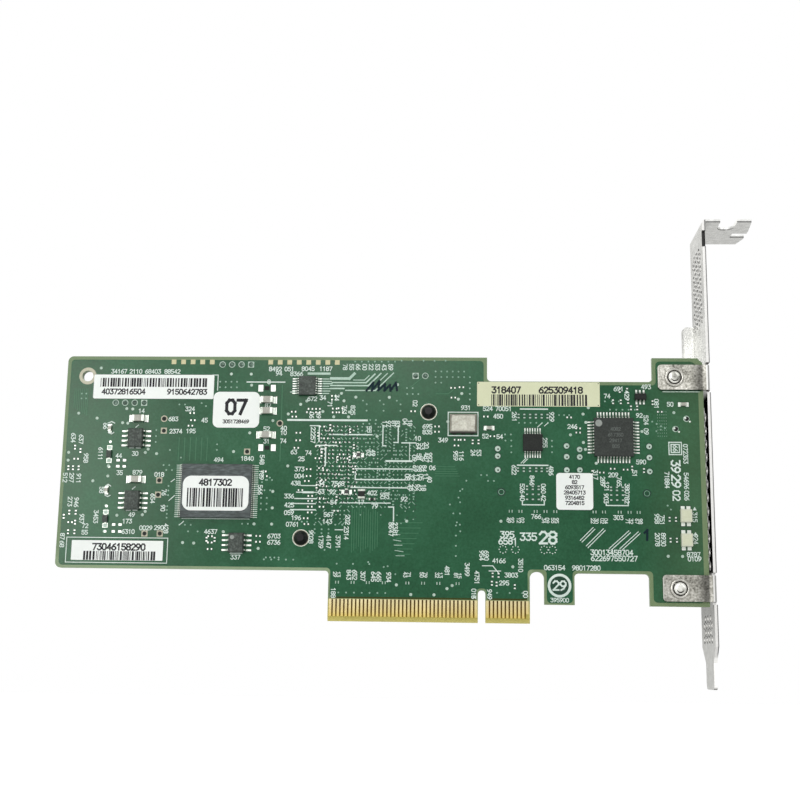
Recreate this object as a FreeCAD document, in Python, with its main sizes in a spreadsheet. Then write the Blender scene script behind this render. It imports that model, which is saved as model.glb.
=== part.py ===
import FreeCAD, Part
import os
import Sketcher

# Host bus adapter card for a server, standing as it does in its slot.
# X runs along the card towards the bracket, Z runs up away from the contact edge, and Y runs through the
# board from the solder side (-Y) to the component side (+Y).
# The origin is at the key notch, on the contact edge, in the middle of the board's thickness.
# All lengths are in millimetres.

SIZES = {
    # Circuit board outline
    "board_left": -110.31,
    "board_length": 167.64,
    "board_height": 68.9,
    "board_thickness": 1.57,
    "board_bottom": 12.75,
    "recess_left": 1.3,
    "recess_right": 44.25,
    "recess_level": 62.5,
    "top_corner_cut": 1.3,
    "foot_left": 42.4,
    "foot_bottom": 4.7,
    "hook_left": 15.85,
    "hook_right": 23.5,
    "hook_bottom": 4.8,
    "hook_slot_top": 13.05,
    "block_left": -39.15,
    "block_right": 12.2,
    "key_half_width": 0.95,
    "key_top": 8.2,
    "bevel_depth": 0.45,
    "bevel_height": 1.2,
    "hook_slot_round": 1.75,
    "key_round": 0.9,
    "inner_round": 1.1,
    "outer_round": 1.5,
    # Edge contacts
    "contact_pitch": 1.0,
    "contact_width": 0.7,
    "contact_thickness": 0.05,
    "contact_top": 5.6,
    "contact_bottom": 1.25,
    "contact_first_offset": 1.5,
    "presence_contact_bottom": 2.3,
    # Holes through the board
    "corner_hole_x": -104.76,
    "corner_hole_z": 63.5,
    "corner_hole_diameter": 2.9,
    "pin_hole_diameter": 3.2,
    "screw_hole_diameter": 3.3,
    "header_hole_diameter": 1.05,
    # Bracket
    "sheet": 0.9,
    "plate_inner": 58.2,
    "plate_width": 18.42,
    "tab_under": 105.8,
    "tab_end": 71.9,
    "tab_far_cut_x": 1.2,
    "tab_far_cut_y": 4.6,
    "tab_near_cut_x": 0.6,
    "tab_near_cut_y": 7.0,
    "tab_slot_x": 65.3,
    "tab_slot_width": 4.42,
    "tab_slot_depth": 6.6,
    "tab_slot_round": 2.1,
    "tab_notch_y": 9.3,
    "tab_notch_width": 3.4,
    "tab_notch_depth": 3.9,
    "edge_notch_low": 99.2,
    "edge_notch_high": 103.6,
    "edge_notch_depth": 0.8,
    "shoulder_top": -5.0,
    "tongue_top": -9.1,
    "tongue_end": -15.7,
    "tongue_near_offset": 3.2,
    "tongue_width": 10.6,
    "tongue_round": 1.6,
    "ear_left": 45.6,
    "ear_height": 6.6,
    "ear_relief": 0.7,
    "ear_relief_depth": 1.9,
    "ear_round": 0.9,
    "ear_upper_bottom": 60.35,
    "ear_lower_bottom": 5.95,
    "screw_x": 49.8,
    "screw_height_in_ear": 3.2,
    "boss_diameter": 4.7,
    "boss_height": 0.45,
    "thread_diameter": 3.0,
    "flange_reach": 3.1,
    "flange_bottom": 14.0,
    "flange_top": 81.6,
    "flange_round": 1.5,
    "hole_diameter": 1.9,
    "hole_pitch": 3.5,
    "hole_middle_y": 7.5,
    "upper_field_bottom": 80.2,
    "upper_field_rows": 6,
    "middle_field_bottom": 15.2,
    "middle_field_rows": 12,
    "lower_field_bottom": -3.2,
    "lower_field_rows": 2,
    "bend_outer": 1.2,
    "bend_inner": 0.35,
    # Bracket screws
    "screw_diameter": 2.9,
    "screw_head_diameter": 5.4,
    "screw_head_height": 1.9,
    "screw_tip": 0.25,
    "screw_socket_width": 0.8,
    "screw_socket_depth": 0.9,
    # Heatsink stack on the component side
    "stack_x": -30.22,
    "stack_z": 37.62,
    "pin_reach_x": 16.3,
    "pin_reach_z": 16.62,
    "chip_side": 27.0,
    "chip_height": 1.7,
    "chip_bevel": 0.3,
    "pad_side": 20.0,
    "pad_height": 0.4,
    "sink_side": 42.0,
    "sink_base": 3.0,
    "sink_height": 10.6,
    "fin_pitch": 3.727,
    "fin_thickness": 1.0,
    "well_diameter": 8.4,
    "pin_diameter": 2.9,
    "pin_head_diameter": 6.0,
    "pin_head_height": 1.2,
    "pin_rise": 6.2,
    "barb_diameter": 3.9,
    "barb_tip_diameter": 1.9,
    "barb_length": 1.9,
    "spring_outer": 5.2,
    "spring_inner": 3.9,
    # Drive-cable receptacles on the component side
    "socket_front": -110.1,
    "socket_depth": 20.4,
    "socket_width": 20.2,
    "socket_height": 11.4,
    "socket_wall": 0.4,
    "socket_lower_z": 14.0,
    "socket_upper_z": 34.6,
    "socket_block_depth": 7.0,
    "socket_tongue_reach": 10.5,
    "socket_tongue_thickness": 1.3,
    "socket_tongue_width": 15.4,
    "socket_pitch": 0.8,
    "socket_contact_width": 0.4,
    "socket_contact_length": 8.0,
    "socket_contact_thickness": 0.1,
    "latch_width": 9.0,
    "latch_length": 5.0,
    "latch_setback": 3.0,
    # Pin headers
    "header_pitch": 2.54,
    "header_housing_height": 2.5,
    "header_pin_side": 0.64,
    "header_pin_rise": 8.6,
    "header_pin_tail": 0.12,
    "header_edge_x": -68.75,
    "header_edge_z": 66.77,
    "header_left_x": -96.85,
    "header_left_z": 56.3,
    "header_pair_x": -17.45,
    "header_pair_z": 63.9,
    # Flash chip
    "flash_x": -68.9,
    "flash_z": 32.95,
    "flash_length": 18.4,
    "flash_width": 14.0,
    "flash_height": 1.0,
    "flash_pitch": 0.5,
    "flash_lead_width": 0.22,
    "flash_lead_reach": 0.8,
    # Eight-lead chips
    "octet_length": 4.9,
    "octet_width": 3.9,
    "octet_height": 1.5,
    "octet_pitch": 1.27,
    "octet_lead_width": 0.42,
    "octet_lead_reach": 1.05,
    "octet_lead_rise": 0.85,
    "octet_lift": 0.15,
    "octet_bevel": 0.25,
    "switch_x": -90.8,
    "switch_upper_z": 46.75,
    "switch_lower_z": 30.3,
    "memory_x": -63.15,
    "memory_z": 19.6,
    # Fourteen-lead chips
    "buffer_length": 5.0,
    "buffer_width": 4.4,
    "buffer_height": 1.05,
    "buffer_pitch": 0.65,
    "buffer_lead_width": 0.25,
    "buffer_lead_reach": 1.0,
    "buffer_left_x": -45.95,
    "buffer_left_z": 61.0,
    "buffer_right_x": 13.1,
    "buffer_right_z": 46.2,
    # Square logic chip
    "logic_side": 10.0,
    "logic_height": 1.1,
    "logic_pitch": 0.8,
    "logic_lead_width": 0.35,
    "logic_lead_reach": 1.0,
    "logic_x": 33.95,
    "logic_z": 47.75,
    # Six-lead chip
    "sextet_length": 2.9,
    "sextet_width": 1.6,
    "sextet_height": 1.1,
    "sextet_pitch": 0.95,
    "sextet_lead_width": 0.4,
    "sextet_lead_reach": 0.6,
    "sextet_x": 41.0,
    "sextet_z": 58.45,
    # Package and lead form shared by the flat chips
    "lead_thickness": 0.15,
    "lead_rise": 0.65,
    "package_lift": 0.1,
    "package_bevel": 0.12,
    # Oscillator
    "oscillator_x": -4.9,
    "oscillator_z": 51.1,
    "oscillator_length": 7.0,
    "oscillator_width": 5.0,
    "oscillator_base": 0.9,
    "oscillator_can": 0.7,
    "oscillator_rim": 0.3,
    "oscillator_bevel": 0.2,
    # Light-emitting diodes
    "led_x": 51.9,
    "led_upper_z": 27.55,
    "led_lower_z": 21.4,
    "led_width": 2.8,
    "led_length": 3.2,
    "led_height": 1.5,
    "led_lens_width": 2.3,
    "led_lens_length": 2.6,
    "led_lens_height": 0.3,
    # Chip capacitors and diodes
    "large_cap_length": 3.2,
    "large_cap_width": 1.6,
    "large_cap_height": 1.4,
    "small_cap_length": 1.6,
    "small_cap_width": 0.8,
    "small_cap_height": 0.8,
    "terminal_share": 0.2,
    "diode_length": 1.8,
    "diode_width": 1.25,
    "diode_height": 0.9,
    "diode_tab": 0.4,
    # Paper labels
    "label_thickness": 0.12,
    # Power parts on the component side
    "inductor_side": 7.2,
    "inductor_height": 3.2,
    "inductor_corner": 0.85,
    "polymer_diameter": 6.3,
    "polymer_height": 5.8,
    "polymer_base": 6.6,
    "polymer_base_height": 0.8,
    "polymer_rim": 0.5,
    "tantalum_length": 6.0,
    "tantalum_width": 3.2,
    "tantalum_height": 2.6,
    "crystal_length": 11.4,
    "crystal_width": 4.8,
    "crystal_height": 3.4,
    "crystal_end_round": 2.3,
    "crystal_x": 24.0,
    "crystal_z": 32.0,
}

# Places of the repeated small parts, as (x, z) on the board
LARGE_CAPS = [(-90.4, 52.05), (-90.3, 35.85), (-56.45, 57.2), (-56.45, 54.25), (-56.5, 47.85)]
SMALL_CAPS_UPRIGHT = [(-97.95, 49.4), (-97.9, 33.0), (-32.05, 42.7), (-34.95, 33.0)]
SMALL_CAPS_FLAT = [(52.1, 56.55), (1.85, 50.05)]
DIODES = [(-97.75, 42.5), (-97.75, 25.5)]
INDUCTORS = [(-79.0, 47.0), (-79.0, 29.0)]
POLYMER_CAPS = [(-67.0, 50.5), (-59.0, 50.5), (-79.0, 38.0)]
TANTALUM_CAPS = [(6.0, 46.0), (6.0, 40.0), (6.0, 34.0)]
REGULATORS = [(-69.0, 40.0), (-69.0, 26.0)]
DECOUPLING_COLUMN_X = (-54.5, -5.5)
DECOUPLING_ROWS = 6
DECOUPLING_FIRST_Z = 24.0
DECOUPLING_STEP = 5.0

# Labels: name, left, bottom, width, height, corner radius
LABELS = [
    ("label_long", -103.0, 57.4, 32.2, 6.5, 0.4),
    ("label_upper_square", -70.75, 49.75, 12.3, 9.6, 1.6),
    ("label_lower_left", -106.2, 14.75, 23.95, 5.1, 0.2),
    ("label_cream", -1.3, 55.85, 31.9, 6.5, 0.2),
    ("label_right_square", 19.1, 28.9, 9.4, 9.5, 0.9),
]
FLASH_LABEL = ("label_flash", -77.6, 27.75, 17.3, 9.05, 2.2)

os.makedirs("parts", exist_ok=True)
doc = FreeCAD.newDocument("host_bus_adapter")
sheet = doc.addObject("Spreadsheet::Sheet", "Sizes")
for row, (name, number) in enumerate(SIZES.items(), start=1):
    sheet.set(f"A{row}", name)
    sheet.set(f"B{row}", str(number))
    sheet.setAlias(f"B{row}", name)
doc.recompute()

# Every finished sub-part, by label
parts = {}


class Size:
    """A length that carries both its number and the sheet expression that drives it."""

    def __init__(self, number, expression):
        self.number = number
        self.expression = expression

    def __add__(self, other):
        other = as_size(other)
        return Size(self.number + other.number, f"({self.expression} + {other.expression})")

    def __sub__(self, other):
        other = as_size(other)
        return Size(self.number - other.number, f"({self.expression} - {other.expression})")

    def __mul__(self, factor):
        return Size(self.number * factor, f"({self.expression} * {factor})")

    def __truediv__(self, divisor):
        return Size(self.number / divisor, f"({self.expression} / {divisor})")

    def __neg__(self):
        return Size(-self.number, f"(0 - {self.expression})")


def as_size(value):
    """A Size as it is, or a plain number as a Size."""
    if isinstance(value, Size):
        return value
    return Size(float(value), f"({float(value)})")


def size(name):
    """The named driving dimension, bound to its cell."""
    return Size(float(sheet.get(name)), f"Sizes.{name}")


def number(name):
    """The named driving dimension as a plain number, for shapes that are set directly."""
    return float(sheet.get(name))


def bind(item, prop, length):
    """Drive one property of a document object from the sheet."""
    item.setExpression(prop, as_size(length).expression)


def finish(label, item):
    """Name a finished sub-part and keep it for writing."""
    item.Label = label
    parts[label] = item
    return item


# Levels that many sub-parts share
half_board = size("board_thickness") / 2
solder_face = -half_board
component_face = half_board
plate_outer = size("plate_inner") + size("sheet")
plate_near = solder_face - size("sheet")
plate_far = plate_near + size("plate_width")
tab_top = size("tab_under") + size("sheet")
stack_x = size("stack_x")
stack_z = size("stack_z")
PIN_PLACES = [
    (stack_x + size("pin_reach_x"), stack_z + size("pin_reach_z")),
    (stack_x - size("pin_reach_x"), stack_z - size("pin_reach_z")),
]
EAR_BOTTOMS = [size("ear_upper_bottom"), size("ear_lower_bottom")]
SCREW_PLACES = [(size("screw_x"), bottom + size("screw_height_in_ear")) for bottom in EAR_BOTTOMS]


# Sketches and features

def new_body(label):
    """An empty body, listed as a finished sub-part."""
    return finish(label, doc.addObject("PartDesign::Body", label))


def new_sketch(body, name, plane, offset):
    """A sketch on one of the body's origin planes, moved along the plane's normal."""
    sketch = body.newObject("Sketcher::SketchObject", name)
    support = [feature for feature in body.Origin.OriginFeatures if feature.Role == plane][0]
    sketch.AttachmentSupport = [(support, "")]
    sketch.MapMode = "FlatFace"
    bind(sketch, "AttachmentOffset.Base.z", offset)
    return sketch


def drive_point(sketch, geometry, position, u, v):
    """Hold one point of the sketch at (u, v) from the sketch's origin."""
    for kind, length in (("DistanceX", u), ("DistanceY", v)):
        rule = Sketcher.Constraint(kind, -1, 1, geometry, position, length.number)
        index = sketch.addConstraint(rule)
        bind(sketch, f"Constraints[{index}]", length)


def draw_loop(sketch, points):
    """A closed loop of straight lines through the points."""
    points = [(as_size(u), as_size(v)) for u, v in points]
    corners = [FreeCAD.Vector(u.number, v.number, 0) for u, v in points]
    first = sketch.GeometryCount
    count = len(points)
    for i in range(count):
        sketch.addGeometry(Part.LineSegment(corners[i], corners[(i + 1) % count]))
    for i in range(count):
        following = first + (i + 1) % count
        sketch.addConstraint(Sketcher.Constraint("Coincident", first + i, 2, following, 1))
    for i, (u, v) in enumerate(points):
        drive_point(sketch, first + i, 1, u, v)


def draw_rectangle(sketch, left, bottom, width, height):
    """A rectangle from its lower left corner."""
    left = as_size(left)
    bottom = as_size(bottom)
    right = left + width
    top = bottom + height
    draw_loop(sketch, [(left, bottom), (right, bottom), (right, top), (left, top)])


def draw_circle(sketch, u, v, diameter):
    """A circle held by its centre and diameter."""
    u = as_size(u)
    v = as_size(v)
    centre = FreeCAD.Vector(u.number, v.number, 0)
    circle = Part.Circle(centre, FreeCAD.Vector(0, 0, 1), diameter.number / 2)
    geometry = sketch.addGeometry(circle)
    index = sketch.addConstraint(Sketcher.Constraint("Diameter", geometry, diameter.number))
    bind(sketch, f"Constraints[{index}]", diameter)
    drive_point(sketch, geometry, 3, u, v)


def pad(body, name, sketch, length, symmetric=False):
    """Material from the sketch along its normal, or evenly to both sides."""
    feature = body.newObject("PartDesign::Pad", name)
    feature.Profile = sketch
    feature.SideType = "Symmetric" if symmetric else "One side"
    bind(feature, "Length", length)
    doc.recompute()
    return feature


def pocket(body, name, sketch, length, symmetric=True, along_normal=False):
    """A cut from the sketch, which must take some material away."""
    before = body.Shape.Volume
    feature = body.newObject("PartDesign::Pocket", name)
    feature.Profile = sketch
    feature.SideType = "Symmetric" if symmetric else "One side"
    feature.Reversed = along_normal
    bind(feature, "Length", length)
    doc.recompute()
    if body.Shape.Volume >= before:
        raise RuntimeError(f"{name} cuts nothing")
    return feature


def edges_near(shape, direction, places):
    """Names of the straight edges along a direction whose middles are nearest to the places."""
    names = []
    for place in places:
        best = None
        for index, edge in enumerate(shape.Edges, start=1):
            if edge.Curve.TypeId != "Part::GeomLine":
                continue
            if abs(abs(edge.Curve.Direction.dot(direction)) - 1) > 1e-6:
                continue
            gap = edge.CenterOfMass.distanceToPoint(place)
            if best is None or gap < best[0]:
                best = (gap, f"Edge{index}")
        names.append(best[1])
    return names


def round_edges(body, name, direction, places, radius):
    """Fillet the edges along a direction that pass nearest to the places."""
    base = body.Tip
    feature = body.newObject("PartDesign::Fillet", name)
    feature.Base = (base, edges_near(base.Shape, direction, places))
    bind(feature, "Radius", radius)
    doc.recompute()
    return feature


X_AXIS = FreeCAD.Vector(1, 0, 0)
Y_AXIS = FreeCAD.Vector(0, 1, 0)
Z_AXIS = FreeCAD.Vector(0, 0, 1)


def on_board(x, z):
    """A point in the middle of the board's thickness."""
    return FreeCAD.Vector(as_size(x).number, 0, as_size(z).number)


# Boxes

def new_box(name, x, y, z, dx, dy, dz):
    """A block from its lowest corner, driven by the sheet."""
    block = doc.addObject("Part::Box", name)
    for prop, length in (("Length", dx), ("Width", dy), ("Height", dz)):
        bind(block, prop, length)
    for axis, place in (("x", x), ("y", y), ("z", z)):
        bind(block, f"Placement.Base.{axis}", place)
    return block


def standing_box(name, x, z, dx, dz, height, solder_side=True, lift=0.0):
    """A block centred at (x, z) that stands off one face of the board."""
    x = as_size(x)
    z = as_size(z)
    dx = as_size(dx)
    dz = as_size(dz)
    height = as_size(height)
    if solder_side:
        y = solder_face - lift - height
    else:
        y = component_face + lift
    return new_box(name, x - dx / 2, y, z - dz / 2, dx, height, dz)


def bevelled(label, block, amount, solder_side=True):
    """The block with the rim of its outer face bevelled."""
    doc.recompute()
    outer = block.Shape.BoundBox.YMin if solder_side else block.Shape.BoundBox.YMax
    rim = []
    for index, edge in enumerate(block.Shape.Edges, start=1):
        if all(abs(vertex.Y - outer) < 1e-6 for vertex in edge.Vertexes):
            rim.append((index, amount, amount))
    feature = doc.addObject("Part::Chamfer", label)
    feature.Base = block
    feature.Edges = rim
    return finish(label, feature)


def across_board(edge):
    """Whether a straight edge runs through the board, along Y."""
    return abs(abs(edge.Curve.Direction.dot(Y_AXIS)) - 1) < 1e-6


def rounded(label, block, radius):
    """The block with its four corners rounded as seen from the front."""
    doc.recompute()
    corners = []
    for index, edge in enumerate(block.Shape.Edges, start=1):
        if across_board(edge):
            corners.append((index, radius, radius))
    feature = doc.addObject("Part::Fillet", label)
    feature.Base = block
    feature.Edges = corners
    return finish(label, feature)


def group(label, solids):
    """Several like solids as one sub-part."""
    feature = doc.addObject("Part::Feature", label)
    feature.Shape = Part.makeCompound(solids)
    return finish(label, feature)


def solid_box(x, y, z, dx, dy, dz):
    """A plain block from its lowest corner, for groups."""
    return Part.makeBox(dx, dy, dz, FreeCAD.Vector(x, y, z))


def solid_cylinder(x, y, z, diameter, length):
    """A plain cylinder along +Y from the given point, for groups."""
    return Part.makeCylinder(diameter / 2, length, FreeCAD.Vector(x, y, z), Y_AXIS)


# Circuit board

def make_circuit_board():
    left = size("board_left")
    right = left + size("board_length")
    top = size("board_height")
    bottom = size("board_bottom")
    cut = size("top_corner_cut")
    key = size("key_half_width")
    edge = as_size(0)
    body = new_body("circuit_board")
    outline = new_sketch(body, "board_outline", "XZ_Plane", 0)
    draw_loop(outline, [
        (left, bottom),
        (left, top),
        (size("recess_left"), top),
        (size("recess_left"), size("recess_level")),
        (size("recess_right"), size("recess_level")),
        (size("recess_right"), top),
        (right - cut, top),
        (right, top - cut),
        (right, size("foot_bottom")),
        (size("foot_left"), size("foot_bottom")),
        (size("foot_left"), bottom),
        (size("hook_right"), bottom),
        (size("hook_right"), size("hook_bottom")),
        (size("hook_left"), size("hook_bottom")),
        (size("hook_left"), size("hook_slot_top")),
        (size("block_right"), size("hook_slot_top")),
        (size("block_right"), edge),
        (key, edge),
        (key, size("key_top")),
        (-key, size("key_top")),
        (-key, edge),
        (size("block_left"), edge),
        (size("block_left"), bottom),
    ])
    pad(body, "board_sheet", outline, size("board_thickness"), symmetric=True)

    slot_corners = [on_board(size(name), size("hook_slot_top")) for name in ("hook_left", "block_right")]
    key_corners = [on_board(side, size("key_top")) for side in (key, -key)]
    inner_corners = [
        on_board(size("recess_left"), size("recess_level")),
        on_board(size("recess_right"), size("recess_level")),
        on_board(size("foot_left"), bottom),
        on_board(size("hook_right"), bottom),
        on_board(size("block_left"), bottom),
    ]
    outer_corners = [on_board(left, bottom), on_board(left, top)]
    round_edges(body, "slot_round", Y_AXIS, slot_corners, size("hook_slot_round"))
    round_edges(body, "key_round", Y_AXIS, key_corners, size("key_round"))
    round_edges(body, "inner_round", Y_AXIS, inner_corners, size("inner_round"))
    round_edges(body, "outer_round", Y_AXIS, outer_corners, size("outer_round"))

    holes = new_sketch(body, "board_holes", "XZ_Plane", 0)
    draw_circle(holes, size("corner_hole_x"), size("corner_hole_z"), size("corner_hole_diameter"))
    for x, z in PIN_PLACES:
        draw_circle(holes, x, z, size("pin_hole_diameter"))
    for x, z in SCREW_PLACES:
        draw_circle(holes, x, z, size("screw_hole_diameter"))
    for x, z, count in header_rows():
        for i in range(count):
            draw_circle(holes, x + size("header_pitch") * i, z, size("header_hole_diameter"))
    pocket(body, "holes", holes, size("board_thickness") * 2)

    bevel = new_sketch(body, "contact_bevel", "YZ_Plane", 0)
    for face in (1, -1):
        side = half_board * face
        draw_loop(bevel, [
            (side, edge),
            (side, size("bevel_height")),
            (side - size("bevel_depth") * face, edge),
        ])
    pocket(body, "bevel", bevel, size("board_length"))


def header_rows():
    """First pin, level and pin count of each pin header."""
    return [
        (size("header_edge_x"), size("header_edge_z"), 4),
        (size("header_left_x"), size("header_left_z"), 4),
        (size("header_pair_x"), size("header_pair_z"), 2),
    ]


# Edge contacts

NEAR_KEY_COUNT = 11
FAR_KEY_COUNT = 38


def contact_places():
    """Middle of every contact along the edge, counted from the bracket end."""
    first = number("contact_first_offset")
    pitch = number("contact_pitch")
    near = [first + (NEAR_KEY_COUNT - 1 - i) * pitch for i in range(NEAR_KEY_COUNT)]
    far = [-first - i * pitch for i in range(FAR_KEY_COUNT)]
    return near + far


def make_contacts(label, y, presence_index):
    """One face's row of contacts, with a shorter presence contact."""
    width = number("contact_width")
    top = number("contact_top")
    solids = []
    for index, x in enumerate(contact_places()):
        bottom = number("contact_bottom")
        if index == presence_index:
            bottom = number("presence_contact_bottom")
        thickness = number("contact_thickness")
        solids.append(solid_box(x - width / 2, y, bottom, width, thickness, top - bottom))
    group(label, solids)


# Bracket

def make_bracket():
    body = new_body("bracket")
    relief = size("ear_relief")
    relief_floor = plate_near + size("ear_relief_depth")
    notch_floor = plate_near + size("edge_notch_depth")
    tongue_near = plate_near + size("tongue_near_offset")
    tongue_far = tongue_near + size("tongue_width")
    bottom_ear = size("ear_lower_bottom")
    top_ear = size("ear_upper_bottom")
    near_edge = [(plate_near, size("shoulder_top"))]
    for ear_bottom in (bottom_ear, top_ear):
        ear_top = ear_bottom + size("ear_height")
        near_edge += [
            (plate_near, ear_bottom - relief),
            (relief_floor, ear_bottom - relief),
            (relief_floor, ear_bottom),
            (plate_near, ear_bottom),
            (plate_near, ear_top),
            (relief_floor, ear_top),
            (relief_floor, ear_top + relief),
            (plate_near, ear_top + relief),
        ]
    near_edge += [
        (plate_near, size("edge_notch_low")),
        (notch_floor, size("edge_notch_low")),
        (notch_floor, size("edge_notch_high")),
        (plate_near, size("edge_notch_high")),
        (plate_near, tab_top),
    ]
    far_edge = [
        (plate_far, tab_top),
        (plate_far, size("shoulder_top")),
        (tongue_far, size("tongue_top")),
        (tongue_far, size("tongue_end")),
        (tongue_near, size("tongue_end")),
        (tongue_near, size("tongue_top")),
    ]
    plate = new_sketch(body, "plate_outline", "YZ_Plane", size("plate_inner"))
    draw_loop(plate, near_edge + far_edge)
    pad(body, "plate", plate, size("sheet"))

    ears = new_sketch(body, "ear_outline", "XZ_Plane", half_board)
    for ear_bottom in EAR_BOTTOMS:
        reach = plate_outer - size("ear_left")
        draw_rectangle(ears, size("ear_left"), ear_bottom, reach, size("ear_height"))
    pad(body, "ears", ears, size("sheet"))

    tab = new_sketch(body, "tab_outline", "XY_Plane", size("tab_under"))
    slot_left = size("tab_slot_x") - size("tab_slot_width") / 2
    slot_right = size("tab_slot_x") + size("tab_slot_width") / 2
    slot_floor = plate_near + size("tab_slot_depth")
    notch_near = size("tab_notch_y") - size("tab_notch_width") / 2
    notch_far = size("tab_notch_y") + size("tab_notch_width") / 2
    notch_left = size("tab_end") - size("tab_notch_depth")
    draw_loop(tab, [
        (size("plate_inner"), plate_near),
        (slot_left, plate_near),
        (slot_left, slot_floor),
        (slot_right, slot_floor),
        (slot_right, plate_near),
        (size("tab_end") - size("tab_near_cut_x"), plate_near),
        (size("tab_end"), plate_near + size("tab_near_cut_y")),
        (size("tab_end"), notch_near),
        (notch_left, notch_near),
        (notch_left, notch_far),
        (size("tab_end"), notch_far),
        (size("tab_end"), plate_far - size("tab_far_cut_y")),
        (size("tab_end") - size("tab_far_cut_x"), plate_far),
        (size("plate_inner"), plate_far),
    ])
    pad(body, "tab", tab, size("sheet"))

    flange = new_sketch(body, "flange_outline", "XZ_Plane", -plate_far)
    flange_left = size("plate_inner") - size("flange_reach")
    flange_height = size("flange_top") - size("flange_bottom")
    draw_rectangle(flange, flange_left, size("flange_bottom"), plate_outer - flange_left, flange_height)
    pad(body, "flange", flange, size("sheet"))

    bosses = new_sketch(body, "boss_outline", "XZ_Plane", half_board + size("sheet"))
    for x, z in SCREW_PLACES:
        draw_circle(bosses, x, z, size("boss_diameter"))
    pad(body, "bosses", bosses, size("boss_height"))
    threads = new_sketch(body, "thread_outline", "XZ_Plane", half_board)
    for x, z in SCREW_PLACES:
        draw_circle(threads, x, z, size("thread_diameter"))
    pocket(body, "threads", threads, size("sheet") * 4)

    make_bracket_rounds(body, slot_left, slot_right, slot_floor, flange_left)
    make_perforation(body, "upper_field")
    make_perforation(body, "middle_field")
    make_perforation(body, "lower_field")


def make_bracket_rounds(body, slot_left, slot_right, slot_floor, flange_left):
    """Bend radii and rounded corners of the folded sheet."""
    ear_middles = [bottom + size("ear_height") / 2 for bottom in EAR_BOTTOMS]
    bend_places = [FreeCAD.Vector(plate_outer.number, plate_near.number, z.number) for z in ear_middles]
    round_edges(body, "ear_bends", Z_AXIS, bend_places, size("bend_outer"))
    middle_y = (plate_near.number + plate_far.number) / 2
    tab_outer = [FreeCAD.Vector(number("plate_inner"), middle_y, tab_top.number)]
    round_edges(body, "tab_bend", Y_AXIS, tab_outer, size("bend_outer"))
    tab_inner = [FreeCAD.Vector(plate_outer.number, middle_y, number("tab_under"))]
    round_edges(body, "tab_bend_inside", Y_AXIS, tab_inner, size("bend_inner"))
    ear_y = (solder_face - size("sheet") / 2).number
    ear_corners = []
    for bottom in EAR_BOTTOMS:
        for z in (bottom, bottom + size("ear_height")):
            ear_corners.append(FreeCAD.Vector(number("ear_left"), ear_y, z.number))
    round_edges(body, "ear_corners", Y_AXIS, ear_corners, size("ear_round"))
    tab_z = (size("tab_under") + size("sheet") / 2).number
    slot_ends = [FreeCAD.Vector(x.number, slot_floor.number, tab_z) for x in (slot_left, slot_right)]
    round_edges(body, "slot_end", Z_AXIS, slot_ends, size("tab_slot_round"))
    tongue_x = (size("plate_inner") + size("sheet") / 2).number
    tongue_near = (plate_near + size("tongue_near_offset")).number
    tongue_sides = (tongue_near, tongue_near + number("tongue_width"))
    tongue_corners = [FreeCAD.Vector(tongue_x, y, number("tongue_end")) for y in tongue_sides]
    round_edges(body, "tongue_corners", X_AXIS, tongue_corners, size("tongue_round"))
    flange_y = (plate_far - size("sheet") / 2).number
    flange_corners = []
    for z in ("flange_bottom", "flange_top"):
        flange_corners.append(FreeCAD.Vector(flange_left.number, flange_y, number(z)))
    round_edges(body, "flange_corners", Y_AXIS, flange_corners, size("flange_round"))


def make_perforation(body, field):
    """A field of round air holes in staggered rows, repeated up the plate."""
    pitch = size("hole_pitch")
    middle = size("hole_middle_y")
    bottom = size(f"{field}_bottom")
    rows = new_sketch(body, f"{field}_rows", "YZ_Plane", size("plate_inner") + size("sheet") / 2)
    for step in (-1.5, -0.5, 0.5, 1.5):
        draw_circle(rows, middle + pitch * step, bottom, size("hole_diameter"))
    for step in (-1, 0, 1):
        draw_circle(rows, middle + pitch * step, bottom + pitch / 2, size("hole_diameter"))
    first_rows = pocket(body, f"{field}_holes", rows, size("sheet") * 2)
    before = body.Shape.Volume
    pattern = body.newObject("PartDesign::LinearPattern", f"{field}_pattern")
    pattern.Originals = [first_rows]
    pattern.Direction = (rows, ["V_Axis"])
    pattern.Mode = "Spacing"
    bind(pattern, "Offset", pitch)
    bind(pattern, "Occurrences", size(f"{field}_rows"))
    body.Tip = pattern
    doc.recompute()
    if body.Shape.Volume >= before:
        raise RuntimeError(f"{field} is not repeated")


def make_bracket_screws():
    """Two screws with slotted pan heads, driven from the component side into the ears."""
    face = component_face.number
    head = number("screw_head_height")
    head_diameter = number("screw_head_diameter")
    tip = plate_near.number - number("boss_height") - number("screw_tip")
    slot = number("screw_socket_width")
    slot_depth = number("screw_socket_depth")
    solids = []
    for x, z in SCREW_PLACES:
        x = x.number
        z = z.number
        shank = solid_cylinder(x, tip, z, number("screw_diameter"), face - tip)
        screw = solid_cylinder(x, face, z, head_diameter, head).fuse(shank)
        slot_y = face + head - slot_depth
        cutter = solid_box(x - head_diameter, slot_y, z - slot / 2, 2 * head_diameter, head, slot)
        solids.append(screw.cut(cutter).removeSplitter())
    group("bracket_screws", solids)


# Heatsink stack

def make_heatsink_stack():
    chip = standing_box("controller_blank", stack_x, stack_z, size("chip_side"), size("chip_side"),
                        size("chip_height"), solder_side=False)
    bevelled("controller_chip", chip, number("chip_bevel"), solder_side=False)
    thermal_pad = standing_box("thermal_pad", stack_x, stack_z, size("pad_side"), size("pad_side"),
                               size("pad_height"), solder_side=False, lift=size("chip_height"))
    finish("thermal_pad", thermal_pad)
    make_heatsink()
    make_push_pins()


def sink_bottom():
    return component_face + size("chip_height") + size("pad_height")


FIN_COUNT = 12


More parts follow.
